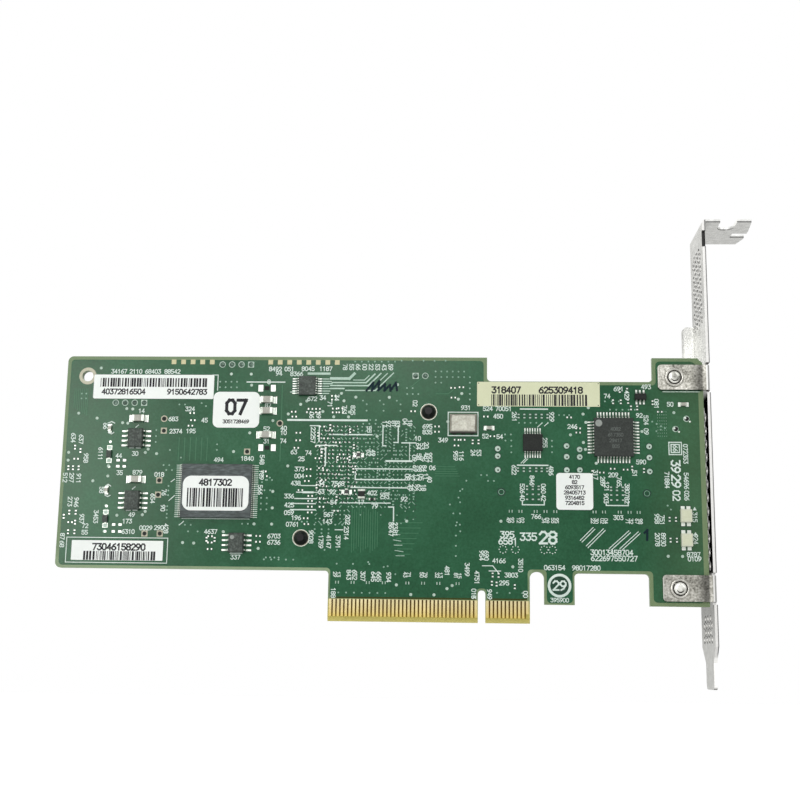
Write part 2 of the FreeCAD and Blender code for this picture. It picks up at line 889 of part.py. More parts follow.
def make_heatsink():
    """A square base with a comb of fins along the card, cleared around the two pins."""
    body = new_body("heatsink")
    half = size("sink_side") / 2
    bottom = sink_bottom()
    floor = bottom + size("sink_base")
    top = bottom + size("sink_height")
    comb = new_sketch(body, "comb_profile", "YZ_Plane", stack_x)
    points = [(bottom, stack_z - half)]
    for i in range(FIN_COUNT):
        fin_low = stack_z - half + size("fin_pitch") * i
        fin_high = fin_low + size("fin_thickness")
        if i > 0:
            points.append((floor, fin_low))
        points += [(top, fin_low), (top, fin_high)]
        if i < FIN_COUNT - 1:
            points.append((floor, fin_high))
    points.append((bottom, points[-1][1]))
    draw_loop(comb, points)
    pad(body, "comb", comb, size("sink_side"), symmetric=True)
    wells = new_sketch(body, "well_outline", "XZ_Plane", -floor)
    for x, z in PIN_PLACES:
        draw_circle(wells, x, z, size("well_diameter"))
    pocket(body, "wells", wells, size("sink_height"), symmetric=False)
    holes = new_sketch(body, "pin_hole_outline", "XZ_Plane", -bottom)
    for x, z in PIN_PLACES:
        draw_circle(holes, x, z, size("pin_hole_diameter"))
    pocket(body, "pin_holes", holes, size("sink_base") * 3)


def make_push_pins():
    """Two barbed pins with their springs; each barb grips the solder face of the board."""
    floor = (sink_bottom() + size("sink_base")).number
    spring_top = floor + number("pin_rise")
    face = solder_face.number
    barb = number("barb_length")
    pins = []
    springs = []
    for x, z in PIN_PLACES:
        x = x.number
        z = z.number
        shaft = solid_cylinder(x, face, z, number("pin_diameter"), spring_top - face)
        head = solid_cylinder(x, spring_top, z, number("pin_head_diameter"), number("pin_head_height"))
        tip = FreeCAD.Vector(x, face - barb, z)
        cone = Part.makeCone(number("barb_tip_diameter") / 2, number("barb_diameter") / 2, barb, tip, Y_AXIS)
        pins.append(shaft.multiFuse([head, cone]).removeSplitter())
        sleeve = solid_cylinder(x, floor, z, number("spring_outer"), spring_top - floor)
        bore = solid_cylinder(x, floor, z, number("spring_inner"), spring_top - floor)
        springs.append(sleeve.cut(bore))
    group("push_pins", pins)
    group("push_pin_springs", springs)


# Drive-cable receptacles

def make_socket(name, bottom):
    """A metal shell around a moulded block, whose tongue carries contacts on both faces."""
    front = size("socket_front")
    depth = size("socket_depth")
    width = size("socket_width")
    height = size("socket_height")
    wall = size("socket_wall")
    block_depth = size("socket_block_depth")
    block_x = front + depth - block_depth

    outer = new_box(f"{name}_outer", front, component_face, bottom, depth, height, width)
    inner = new_box(f"{name}_inner", front - wall, component_face + wall, bottom + wall,
                    depth + wall * 2, height - wall * 2, width - wall * 2)
    tube = doc.addObject("Part::Cut", f"{name}_tube")
    tube.Base = outer
    tube.Tool = inner
    latch_z = bottom + width / 2 - size("latch_width") / 2
    latch = new_box(f"{name}_latch", front + size("latch_setback"), component_face + height - wall * 2,
                    latch_z, size("latch_length"), wall * 3, size("latch_width"))
    shell = doc.addObject("Part::Cut", f"{name}_shell")
    shell.Base = tube
    shell.Tool = latch
    finish(f"socket_shell_{name}", shell)

    block = new_box(f"{name}_block", block_x, component_face + wall, bottom + wall,
                    block_depth, height - wall * 2, width - wall * 2)
    tongue_width = size("socket_tongue_width")
    tongue_thickness = size("socket_tongue_thickness")
    middle_y = component_face + height / 2
    tongue_z = bottom + width / 2 - tongue_width / 2
    reach = size("socket_tongue_reach")
    tongue = new_box(f"{name}_tongue", block_x - reach, middle_y - tongue_thickness / 2, tongue_z,
                     reach, tongue_thickness, tongue_width)
    housing = doc.addObject("Part::Fuse", f"{name}_housing")
    housing.Base = block
    housing.Tool = tongue
    housing.Refine = True
    finish(f"socket_housing_{name}", housing)

    make_socket_contacts(name, block_x.number, middle_y.number, (bottom + width / 2).number)


SOCKET_CONTACTS_PER_FACE = 18


def make_socket_contacts(name, block_x, middle_y, middle_z):
    pitch = number("socket_pitch")
    width = number("socket_contact_width")
    length = number("socket_contact_length")
    thickness = number("socket_contact_thickness")
    half_tongue = number("socket_tongue_thickness") / 2
    first = middle_z - (SOCKET_CONTACTS_PER_FACE - 1) * pitch / 2 - width / 2
    solids = []
    for y in (middle_y + half_tongue, middle_y - half_tongue - thickness):
        for i in range(SOCKET_CONTACTS_PER_FACE):
            solids.append(solid_box(block_x - length, y, first + i * pitch, length, thickness, width))
    group(f"socket_contacts_{name}", solids)


# Pin headers

def make_headers():
    """Square pins through the board, each row held by a moulded strip on the component side."""
    pitch = number("header_pitch")
    side = number("header_pin_side")
    face = component_face.number
    tail = solder_face.number - number("header_pin_tail")
    housing_height = number("header_housing_height")
    pin_length = face + number("header_pin_rise") - tail
    housings = []
    pins = []
    for first_x, level, count in header_rows():
        left = first_x.number - pitch / 2
        bottom = level.number - pitch / 2
        strip = solid_box(left, face, bottom, pitch * count, housing_height, pitch)
        for i in range(count):
            pin_x = first_x.number + i * pitch - side / 2
            pin = solid_box(pin_x, tail, level.number - side / 2, side, pin_length, side)
            strip = strip.cut(pin)
            pins.append(pin)
        housings.append(strip)
    group("header_housings", housings)
    group("header_pins", pins)


# Chips and their leads

def lead_profile(reach, rise):
    """Side view of one bent lead, as (outward, height) points from the package to the board."""
    sheet_thickness = number("lead_thickness")
    shoulder = reach * 0.3
    heel = reach * 0.45
    return [
        (0, rise),
        (shoulder, rise),
        (heel + sheet_thickness, sheet_thickness),
        (reach, sheet_thickness),
        (reach, 0),
        (heel, 0),
        (shoulder - sheet_thickness * 0.5, rise - sheet_thickness),
        (0, rise - sheet_thickness),
    ]


FLASH_LEADS_PER_SIDE = 28
OCTET_LEADS_PER_SIDE = 4
BUFFER_LEADS_PER_SIDE = 7
LOGIC_LEADS_PER_SIDE = 11
SEXTET_LEADS_PER_SIDE = 3
SIDES = {
    "left": (-X_AXIS, Z_AXIS),
    "right": (X_AXIS, Z_AXIS),
    "lower": (-Z_AXIS, X_AXIS),
    "upper": (Z_AXIS, X_AXIS),
}


def lead_row(x, z, side, package_half, count, pitch, width, reach, rise, solder_side=True):
    """The leads along one side of a chip."""
    outward, along = SIDES[side]
    up = -Y_AXIS if solder_side else Y_AXIS
    face = solder_face.number if solder_side else component_face.number
    foot = FreeCAD.Vector(x, face, z) + outward * package_half
    solids = []
    for i in range(count):
        offset = (i - (count - 1) / 2) * pitch - width / 2
        start = foot + along * offset
        corners = [start + outward * out + up * height for out, height in lead_profile(reach, rise)]
        wire = Part.makePolygon(corners + corners[:1])
        solids.append(Part.Face(wire).extrude(along * width))
    return solids


def make_flash_chip():
    length = size("flash_length")
    blank = standing_box("flash_blank", size("flash_x"), size("flash_z"), length, size("flash_width"),
                         size("flash_height"), lift=size("package_lift"))
    bevelled("flash_chip", blank, number("package_bevel"))
    leads = []
    for side in ("left", "right"):
        leads += lead_row(number("flash_x"), number("flash_z"), side, length.number / 2,
                          FLASH_LEADS_PER_SIDE, number("flash_pitch"), number("flash_lead_width"),
                          number("flash_lead_reach"), number("lead_rise"))
    group("flash_leads", leads)


def octet_leads(x, z, solder_side=True):
    leads = []
    for side in ("left", "right"):
        leads += lead_row(x, z, side, number("octet_width") / 2, OCTET_LEADS_PER_SIDE,
                          number("octet_pitch"), number("octet_lead_width"), number("octet_lead_reach"),
                          number("octet_lead_rise"), solder_side)
    return leads


def make_octet_chip(name, x, z):
    blank = standing_box(f"{name}_blank", x, z, size("octet_width"), size("octet_length"),
                         size("octet_height"), lift=size("octet_lift"))
    bevelled(name, blank, number("octet_bevel"))
    group(f"{name}_leads", octet_leads(x.number, z.number))


def make_buffer_chip(name, x, z, sides):
    """A fourteen-lead chip, with its leads on the named pair of sides."""
    across = size("buffer_width")
    along = size("buffer_length")
    leads_on_x = "left" in sides
    dx = across if leads_on_x else along
    dz = along if leads_on_x else across
    blank = standing_box(f"{name}_blank", x, z, dx, dz, size("buffer_height"), lift=size("package_lift"))
    bevelled(name, blank, number("package_bevel"))
    leads = []
    for side in sides:
        leads += lead_row(x.number, z.number, side, across.number / 2, BUFFER_LEADS_PER_SIDE,
                          number("buffer_pitch"), number("buffer_lead_width"), number("buffer_lead_reach"),
                          number("lead_rise"))
    group(f"{name}_leads", leads)


def make_logic_chip():
    side_length = size("logic_side")
    blank = standing_box("logic_blank", size("logic_x"), size("logic_z"), side_length, side_length,
                         size("logic_height"), lift=size("package_lift"))
    bevelled("logic_chip", blank, number("package_bevel"))
    leads = []
    for side in SIDES:
        leads += lead_row(number("logic_x"), number("logic_z"), side, side_length.number / 2,
                          LOGIC_LEADS_PER_SIDE, number("logic_pitch"), number("logic_lead_width"),
                          number("logic_lead_reach"), number("lead_rise"))
    group("logic_leads", leads)


def make_sextet_chip():
    blank = standing_box("sextet_blank", size("sextet_x"), size("sextet_z"), size("sextet_length"),
                         size("sextet_width"), size("sextet_height"), lift=size("package_lift"))
    bevelled("monitor_chip", blank, number("package_bevel"))
    leads = []
    for side in ("lower", "upper"):
        leads += lead_row(number("sextet_x"), number("sextet_z"), side, number("sextet_width") / 2,
                          SEXTET_LEADS_PER_SIDE, number("sextet_pitch"), number("sextet_lead_width"),
                          number("sextet_lead_reach"), number("lead_rise"))
    group("monitor_leads", leads)


# Oscillator and lights

def make_oscillator():
    x = size("oscillator_x")
    z = size("oscillator_z")
    length = size("oscillator_length")
    width = size("oscillator_width")
    rim = size("oscillator_rim")
    base = standing_box("oscillator_base", x, z, length, width, size("oscillator_base"))
    finish("oscillator_base", base)
    can = standing_box("oscillator_blank", x, z, length - rim * 2, width - rim * 2,
                       size("oscillator_can"), lift=size("oscillator_base"))
    bevelled("oscillator_can", can, number("oscillator_bevel"))


def make_lights():
    """Two moulded light bodies, each with a lens filling its window."""
    face = solder_face.number
    bodies = []
    lenses = []
    height = number("led_height")
    lens_height = number("led_lens_height")
    for z in (number("led_upper_z"), number("led_lower_z")):
        left = number("led_x") - number("led_width") / 2
        bottom = z - number("led_length") / 2
        lens_left = number("led_x") - number("led_lens_width") / 2
        lens_bottom = z - number("led_lens_length") / 2
        body = solid_box(left, face - height, bottom, number("led_width"), height, number("led_length"))
        lens = solid_box(lens_left, face - height, lens_bottom, number("led_lens_width"), lens_height,
                         number("led_lens_length"))
        bodies.append(body.cut(lens))
        lenses.append(lens)
    group("light_bodies", bodies)
    group("light_lenses", lenses)


# Two-terminal chip parts

def chip_part(x, z, length, width, height, upright, y):
    """Body and two end terminals of a chip part whose lowest Y is given."""
    end = length * number("terminal_share")
    pieces = []
    for start, run in ((-length / 2 + end, length - 2 * end), (-length / 2, end), (length / 2 - end, end)):
        if upright:
            pieces.append(solid_box(x - width / 2, y, z + start, width, height, run))
        else:
            pieces.append(solid_box(x + start, y, z - width / 2, run, height, width))
    return pieces[0], pieces[1:]


def make_capacitors():
    bodies = []
    terminals = []
    large = [number(f"large_cap_{part}") for part in ("length", "width", "height")]
    small = [number(f"small_cap_{part}") for part in ("length", "width", "height")]
    batches = [(LARGE_CAPS, large, False), (SMALL_CAPS_FLAT, small, False), (SMALL_CAPS_UPRIGHT, small, True)]
    for places, (length, width, height), upright in batches:
        for x, z in places:
            y = solder_face.number - height
            body, ends = chip_part(x, z, length, width, height, upright, y)
            bodies.append(body)
            terminals += ends
    group("capacitor_bodies", bodies)
    group("capacitor_terminals", terminals)


def make_diodes():
    """Two upright diodes with a flat tab at each end."""
    length = number("diode_length")
    width = number("diode_width")
    height = number("diode_height")
    tab = number("diode_tab")
    thickness = number("lead_thickness")
    face = solder_face.number
    bodies = []
    tabs = []
    for x, z in DIODES:
        bodies.append(solid_box(x - width / 2, face - height, z - length / 2, width, height, length))
        for tab_z in (z - length / 2 - tab, z + length / 2):
            tabs.append(solid_box(x - width / 4, face - thickness, tab_z, width / 2, thickness, tab))
    group("diode_bodies", bodies)
    group("diode_tabs", tabs)


# Labels

def make_label(name, left, bottom, width, height, radius, face):
    """A paper label with rounded corners on the given face."""
    thickness = size("label_thickness")
    blank = new_box(f"{name}_blank", left, face - thickness, bottom, width, thickness, height)
    rounded(name, blank, radius)


def make_labels():
    for name, left, bottom, width, height, radius in LABELS:
        make_label(name, left, bottom, width, height, radius, solder_face)
    flash_top = solder_face - size("package_lift") - size("flash_height")
    make_label(*FLASH_LABEL, flash_top)


# Power parts on the component side

def make_power_parts():
    face = component_face.number
    side = number("inductor_side")
    height = number("inductor_height")
    coils = []
    for x, z in INDUCTORS:
        block = solid_box(x - side / 2, face, z - side / 2, side, height, side)
        upright = [edge for edge in block.Edges if across_board(edge)]
        coils.append(block.makeChamfer(number("inductor_corner"), upright))
    group("inductors", coils)

    base = number("polymer_base")
    base_height = number("polymer_base_height")
    bases = []
    cans = []
    for x, z in POLYMER_CAPS:
        bases.append(solid_box(x - base / 2, face, z - base / 2, base, base_height, base))
        can_height = number("polymer_height")
        can = solid_cylinder(x, face + base_height, z, number("polymer_diameter"), can_height)
        rim = [edge for edge in can.Edges if edge.CenterOfMass.y > face + base_height + can_height - 1e-3]
        cans.append(can.makeFillet(number("polymer_rim"), rim))
    group("polymer_bases", bases)
    group("polymer_cans", cans)

    bodies = []
    terminals = []
    tantalum = [number(f"tantalum_{part}") for part in ("length", "width", "height")]
    for x, z in TANTALUM_CAPS:
        body, ends = chip_part(x, z, *tantalum, False, face)
        bodies.append(body)
        terminals += ends
    group("tantalum_bodies", bodies)
    group("tantalum_terminals", terminals)

    chips = []
    leads = []
    for x, z in REGULATORS:
        width = number("octet_width")
        length = number("octet_length")
        y = face + number("octet_lift")
        chips.append(solid_box(x - width / 2, y, z - length / 2, width, number("octet_height"), length))
        leads += octet_leads(x, z, solder_side=False)
    group("regulator_chips", chips)
    group("regulator_leads", leads)


def make_crystal():
    """A metal-can crystal with rounded ends, lying on the component side."""
    blank = standing_box("crystal_blank", size("crystal_x"), size("crystal_z"), size("crystal_length"),
                         size("crystal_width"), size("crystal_height"), solder_side=False)
    rounded("crystal_can", blank, number("crystal_end_round"))


def make_decoupling():
    """Two columns of small capacitors beside the heatsink."""
    face = component_face.number
    bodies = []
    terminals = []
    small = [number(f"small_cap_{part}") for part in ("length", "width", "height")]
    for x in DECOUPLING_COLUMN_X:
        for i in range(DECOUPLING_ROWS):
            z = DECOUPLING_FIRST_Z + i * DECOUPLING_STEP
            body, ends = chip_part(x, z, *small, False, face)
            bodies.append(body)
            terminals += ends
    group("decoupling_bodies", bodies)
    group("decoupling_terminals", terminals)


# The whole card

make_circuit_board()
make_contacts("contacts_solder_side", solder_face.number - number("contact_thickness"), 0)
make_contacts("contacts_component_side", component_face.number, NEAR_KEY_COUNT + FAR_KEY_COUNT - 2)
make_bracket()
make_bracket_screws()
make_heatsink_stack()
make_socket("lower", size("socket_lower_z"))
make_socket("upper", size("socket_upper_z"))
make_headers()
make_flash_chip()
make_octet_chip("switch_chip_upper", size("switch_x"), size("switch_upper_z"))
make_octet_chip("switch_chip_lower", size("switch_x"), size("switch_lower_z"))
make_octet_chip("memory_chip", size("memory_x"), size("memory_z"))
make_buffer_chip("buffer_chip_left", size("buffer_left_x"), size("buffer_left_z"), ("left", "right"))
make_buffer_chip("buffer_chip_right", size("buffer_right_x"), size("buffer_right_z"), ("lower", "upper"))
make_logic_chip()
make_sextet_chip()
make_oscillator()
make_lights()
make_capacitors()
make_diodes()
make_labels()
make_power_parts()
make_crystal()
make_decoupling()
doc.recompute()

# Every object must be sound before anything is written
for item in doc.Objects:
    if "Invalid" in item.State or "Error" in item.State:
        raise RuntimeError(f"{item.Label} failed: {item.State}")
for label, item in parts.items():
    if item.Shape.isNull() or not item.Shape.isValid():
        raise RuntimeError(f"{label} has no valid shape")
for label, item in parts.items():
    item.Shape.exportStep(f"parts/{label}.step")
print(len(parts), "sub-parts written")
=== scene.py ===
import math
import random

import bpy
from mathutils import Matrix, Vector, geometry


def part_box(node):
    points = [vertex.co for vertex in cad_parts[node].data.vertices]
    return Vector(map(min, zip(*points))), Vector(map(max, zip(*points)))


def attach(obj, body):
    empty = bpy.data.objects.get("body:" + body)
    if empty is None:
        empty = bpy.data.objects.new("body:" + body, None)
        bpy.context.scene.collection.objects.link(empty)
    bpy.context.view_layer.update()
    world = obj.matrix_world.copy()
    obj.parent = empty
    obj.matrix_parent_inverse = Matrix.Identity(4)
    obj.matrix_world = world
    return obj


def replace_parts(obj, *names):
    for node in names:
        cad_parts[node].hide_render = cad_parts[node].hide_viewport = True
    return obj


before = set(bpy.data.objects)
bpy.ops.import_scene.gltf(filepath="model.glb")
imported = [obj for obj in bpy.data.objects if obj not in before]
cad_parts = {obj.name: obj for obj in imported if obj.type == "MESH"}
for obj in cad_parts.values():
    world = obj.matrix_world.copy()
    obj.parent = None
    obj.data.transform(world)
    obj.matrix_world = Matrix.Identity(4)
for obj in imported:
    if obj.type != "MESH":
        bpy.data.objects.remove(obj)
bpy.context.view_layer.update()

MM = 0.001
BODY = "root"

# The two faces of the board, as the sign of Y
SOLDER = -1
COMPONENT = 1
board_low, board_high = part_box("circuit_board")
HALF_BOARD = board_high[1] / MM

# Heights of the printed layers above the bare laminate, in millimetres
MASK_HEIGHT = 0.03
TRACE_HEIGHT = 0.042
PAD_HEIGHT = 0.054
SILK_HEIGHT = 0.066
PRINT_GAP = 0.008
MARKER_HEIGHT = SILK_HEIGHT + PRINT_GAP * 2


# Shader nodes

# Noise keeps to the middle of its range, so colours and gloss are spread between these two levels
NOISE_LOW = 0.3
NOISE_HIGH = 0.7
NOISE_ROUGHNESS = 0.55
PATCH_DETAIL = 3.0
SHEET_DETAIL = 4.0
GRAIN_DETAIL = 6.0
RELIEF_DEPTH = 0.00002


def colour(tone):
    """Linear values for a shader, from a plain grey level or from red, green and blue as seen on screen."""
    if not isinstance(tone, tuple):
        return (tone, tone, tone, 1)
    linear = []
    for value in tone:
        share = value / 255
        linear.append(share / 12.92 if share <= 0.04045 else ((share + 0.055) / 1.055) ** 2.4)
    return (*linear, 1)


class Shading:
    """The nodes of one material or world, with short ways to add and join them."""

    def __init__(self, owner, shader="Principled BSDF"):
        owner.use_nodes = True
        self.owner = owner
        self.tree = owner.node_tree
        self.shader = self.tree.nodes[shader]
        self.tone = None

    def feed(self, node, inputs):
        """Join each named input of a node to a source, or set it to a plain value."""
        for name, value in inputs.items():
            if isinstance(value, bpy.types.NodeSocket):
                self.tree.links.new(value, node.inputs[name])
            else:
                node.inputs[name].default_value = value

    def add(self, kind, output, inputs, **properties):
        """One output of a new node."""
        node = self.tree.nodes.new("ShaderNode" + kind)
        for name, value in properties.items():
            setattr(node, name, value)
        self.feed(node, inputs)
        return node.outputs[output]

    def places(self, stretch=(1, 1, 1)):
        """Places on the object in metres, stretched along its axes."""
        coordinates = self.add("TexCoord", "Object", {})
        return self.add("Mapping", "Vector", {"Vector": coordinates, "Scale": stretch})

    def noise(self, scale, detail, stretch=(1, 1, 1)):
        """Noise over the object's own places; scale counts features to the metre."""
        return self.add("TexNoise", "Fac", {
            "Vector": self.places(stretch), "Scale": scale, "Detail": detail, "Roughness": NOISE_ROUGHNESS,
        })

    def span(self, source, low, high, first, last):
        """A source's levels from low to high, moved to run from first to last."""
        return self.add("MapRange", "Result", {"Value": source, "From Min": low, "From Max": high,
                                               "To Min": first, "To Max": last})

    def ramp(self, source, stops):
        """Colours at stated levels of a source."""
        node = self.tree.nodes.new("ShaderNodeValToRGB")
        elements = node.color_ramp.elements
        while len(elements) < len(stops):
            elements.new(0.5)
        for index, (position, tone) in enumerate(stops):
            elements[index].position = position
            elements[index].color = colour(tone)
        self.feed(node, {"Fac": source})
        return node.outputs["Color"]

    def spread(self, source, tones, low=NOISE_LOW, high=NOISE_HIGH):
        """Colours evenly spaced between two levels of a source."""
        last = len(tones) - 1
        return self.ramp(source, [(low + (high - low) * i / last, tone) for i, tone in enumerate(tones)])

    def along(self, span, *stops):
        """Colours at stated places along one axis of the object, in millimetres within a span."""
        axis, low, high = span
        place = self.add("SeparateXYZ", axis, {"Vector": self.add("TexCoord", "Object", {})})
        share = self.span(place, low * MM, high * MM, 0, 1)
        return self.ramp(share, [((position - low) / (high - low), tone) for position, tone in stops])

    def facing(self, axis):
        """How squarely the surface faces either way along one axis of the object."""
        normal = self.add("TexCoord", "Normal", {})
        return self.math("ABSOLUTE", self.add("SeparateXYZ", axis, {"Vector": normal}))

    def math(self, operation, *values):
        return self.add("Math", 0, dict(enumerate(values)), operation=operation)

    def mix(self, first, second, share, kind="MIX"):
        """Two colours blended by a share."""
        return self.add("Mix", 2, {0: share, 6: first, 7: second}, data_type="RGBA", blend_type=kind)

    def multiply(self, first, second):
        return self.mix(first, second, 1.0, "MULTIPLY")

    def lighten(self, first, second):
        return self.mix(first, second, 1.0, "LIGHTEN")

    def recolour(self, source):
        self.feed(self.shader, {"Base Color": source})


# Finishes

ALONG_CONTACTS = (6, 6, 0.7)

# As (colours, least and most roughness, patches to the metre, grain to the metre, other settings)
FINISHES = {
    "bare_laminate": ([0.78, 1.0], (0.35, 0.5), 60, 1400, {"patch_share": 0.6, "specular": 0.3}),
    "contact_gold": ([0.86, 1.0], (0.22, 0.36), 180, 2600, {"metallic": 1.0, "stretch": ALONG_CONTACTS}),
    "bracket_sheet": ([(54, 52, 46), (184, 182, 172), (250, 248, 240)], (0.24, 0.40), 210, 1900,
                      {"metallic": 1.0, "bump": 0.3, "patch_share": 0.4}),
    "solder_mask": ([(16, 69, 42), (29, 85, 55), (43, 100, 69)], (0.19, 0.27), 55, 1700,
                    {"bump": 0.25, "patch_share": 0.55, "specular": 0.24}),
    "masked_copper": ([(40, 96, 64), (56, 114, 80)], (0.28, 0.40), 120, 1800, {"specular": 0.25}),
    "bright_copper": ([(150, 184, 164), (190, 212, 198)], (0.35, 0.5), 200, 2200, {}),
    "masked_gap": ([(16, 54, 36), (26, 68, 48)], (0.3, 0.42), 120, 1800, {"specular": 0.25}),
    "legend_ink": ([(198, 217, 206), (228, 239, 232)], (0.5, 0.65), 300, 2200, {"specular": 0.3}),
    "tinned_pad": ([(206, 213, 203), (236, 242, 233)], (0.25, 0.45), 260, 2400,
                   {"metallic": 0.5, "bump": 0.3}),
    "plugged_via": ([(112, 152, 130), (158, 190, 172)], (0.35, 0.5), 260, 2400, {"specular": 0.3}),
    "pale_pad": ([(150, 178, 160), (204, 220, 208)], (0.35, 0.5), 420, 2400, {"specular": 0.3}),
    "via_hole": ([(12, 16, 13), (30, 38, 32)], (0.5, 0.7), 400, 3000, {"specular": 0.2}),
    "hole_fill": ([(16, 34, 24), (54, 84, 66), (178, 198, 186)], (0.3, 0.45), 900, 2600,
                  {"patch_share": 0.7, "specular": 0.35}),
    "hole_rim": ([(132, 132, 130), (172, 172, 169)], (0.3, 0.5), 500, 3000, {"metallic": 0.9}),
    "contact_gap": ([0.86, 1.0], (0.4, 0.55), 180, 2600, {"stretch": ALONG_CONTACTS, "specular": 0.12}),
    "hole_ring": ([(138, 136, 116), (180, 178, 156)], (0.3, 0.5), 320, 2000, {"metallic": 0.2}),
    "edge_pad": ([(160, 156, 116), (192, 187, 148)], (0.3, 0.5), 420, 2000, {"metallic": 0.2}),
    "screw_steel": ([(84, 83, 78), (206, 206, 198), (240, 240, 234)], (0.16, 0.34), 560, 3600,
                    {"metallic": 1.0, "bump": 0.5, "patch_share": 0.75}),
    "rolled_collar": ([(128, 127, 120), (206, 204, 196)], (0.2, 0.36), 500, 3000,
                      {"metallic": 1.0, "bump": 0.4}),
    # A dark finish: painted shade in the screw grooves, slots and end crescents, and the colour of dark
    # seams and print
    "thread_groove": ([(22, 21, 19), (58, 56, 52)], (0.4, 0.6), 600, 3600, {"metallic": 0.6}),
    "moulded_epoxy": ([(18, 24, 20), (58, 66, 60), (100, 108, 102)], (0.42, 0.6), 700, 2000,
                      {"bump": 0.5, "patch_share": 0.35, "specular": 0.3}),
    "moulded_epoxy_dark": ([(26, 30, 27), (42, 47, 43), (60, 65, 61)], (0.45, 0.62), 600, 2400,
                           {"bump": 0.5, "patch_share": 0.35, "specular": 0.3}),
    "moulded_epoxy_black": ([(10, 12, 10), (25, 28, 25), (42, 46, 42)], (0.45, 0.62), 600, 2600,
                            {"bump": 0.5, "patch_share": 0.35, "specular": 0.22}),
    "moulded_epoxy_grey": ([(34, 41, 40), (68, 76, 75), (104, 113, 112)], (0.4, 0.55), 400, 2200,
                           {"bump": 0.4, "stretch": (0.25, 1, 1), "patch_share": 0.3, "specular": 0.3}),
    "tinned_lead": ([(118, 124, 116), (194, 200, 191)], (0.24, 0.4), 500, 4200,
                    {"metallic": 0.9, "bump": 0.3}),
    "tinned_terminal": ([(124, 129, 120), (204, 209, 199)], (0.24, 0.4), 700, 4200,
                        {"metallic": 0.9, "bump": 0.3}),
    "label_paper": ([(238, 243, 238), (246, 250, 246)], (0.5, 0.65), 90, 4200,
                    {"patch_share": 0.4, "specular": 0.2}),
    "label_paper_cream": ([(212, 215, 180), (224, 228, 194)], (0.5, 0.65), 90, 4200, {"specular": 0.2}),
    "label_ink": ([(18, 18, 20), (44, 44, 48)], (0.5, 0.7), 300, 3600, {"specular": 0.2}),
    "marker_ink": ([(8, 26, 32), (16, 42, 48)], (0.5, 0.7), 500, 3000, {"specular": 0.12}),
    "oscillator_lid": ([(122, 121, 110), (162, 161, 150), (198, 198, 187)], (0.3, 0.5), 620, 2000,
                       {"metallic": 0.7, "bump": 0.3}),
    "ceramic_base": ([(120, 116, 104), (160, 156, 143)], (0.5, 0.7), 300, 3200, {}),
    "capacitor_body": ([(136, 135, 124), (184, 184, 173)], (0.3, 0.45), 500, 3400, {}),
    "light_body": ([(200, 203, 180), (218, 222, 202)], (0.35, 0.5), 300, 3000, {"specular": 0.3}),
    "light_lens": ([(204, 208, 176), (222, 226, 200)], (0.12, 0.2), 500, 2600, {}),
    "heatsink_finish": ([(96, 100, 106), (142, 146, 152)], (0.34, 0.5), 90, 2600,
                        {"metallic": 0.9, "stretch": (0.08, 1, 1)}),
    "thermal_pad": ([(150, 150, 146), (186, 186, 180)], (0.7, 0.9), 200, 2600, {}),
    "pin_nylon": ([(14, 14, 15), (34, 33, 33)], (0.25, 0.4), 300, 3200, {"specular": 0.2}),
    "socket_moulding": ([(26, 26, 28), (48, 48, 52)], (0.4, 0.58), 160, 3600,
                        {"bump": 0.3, "specular": 0.3}),
    "socket_shell": ([(140, 140, 135), (192, 192, 186)], (0.25, 0.42), 120, 2600,
                     {"metallic": 1.0, "stretch": (0.12, 1, 1)}),
    "spring_wire": ([(150, 150, 150), (206, 206, 204)], (0.2, 0.35), 500, 3600, {"metallic": 1.0}),
    "pressed_ferrite": ([(48, 49, 52), (82, 83, 86)], (0.55, 0.75), 260, 3800,
                        {"bump": 0.6, "specular": 0.3}),
    "drawn_can": ([(160, 162, 164), (210, 212, 214)], (0.2, 0.34), 160, 2800,
                  {"metallic": 1.0, "stretch": (1, 0.1, 1)}),
    "tantalum_moulding": ([(170, 112, 36), (206, 146, 62)], (0.4, 0.55), 240, 3400, {}),
    "moulded_mark": ([(74, 80, 76), (98, 104, 100)], (0.45, 0.6), 300, 3600, {"specular": 0.3}),
    "pin_one_dot": ([(120, 126, 120), (158, 164, 158)], (0.5, 0.65), 500, 3600, {}),
}


def surface(name, tones, roughness, patches, grain, metallic=0.0, bump=0.15, stretch=(1, 1, 1),
            patch_share=0.5, specular=0.5):
    """A finish with broad patches of tone, a fine grain, uneven gloss and a slight relief."""
    nodes = Shading(bpy.data.materials.new(name))
    broad = nodes.noise(patches, PATCH_DETAIL)
    fine = nodes.noise(grain, GRAIN_DETAIL, stretch)
    mixed = nodes.add("Mix", 0, {0: patch_share, 2: fine, 3: broad})
    nodes.tone = nodes.spread(mixed, tones)
    nodes.recolour(nodes.tone)
    nodes.feed(nodes.shader, {
        "Roughness": nodes.span(mixed, NOISE_LOW, NOISE_HIGH, *roughness),
        "Normal": nodes.add("Bump", "Normal", {"Strength": bump, "Distance": RELIEF_DEPTH, "Height": fine}),
        "Metallic": metallic,
        "Specular IOR Level": specular,
    })
    return nodes


SHADINGS = {}
for finish_name, (*finish_values, finish_settings) in FINISHES.items():
    SHADINGS[finish_name] = surface(finish_name, *finish_values, **finish_settings)


# Tones that change from place to place; spans are (axis, low, high) in millimetres

BOARD_SPAN = ("Z", 0.0, 80.0)


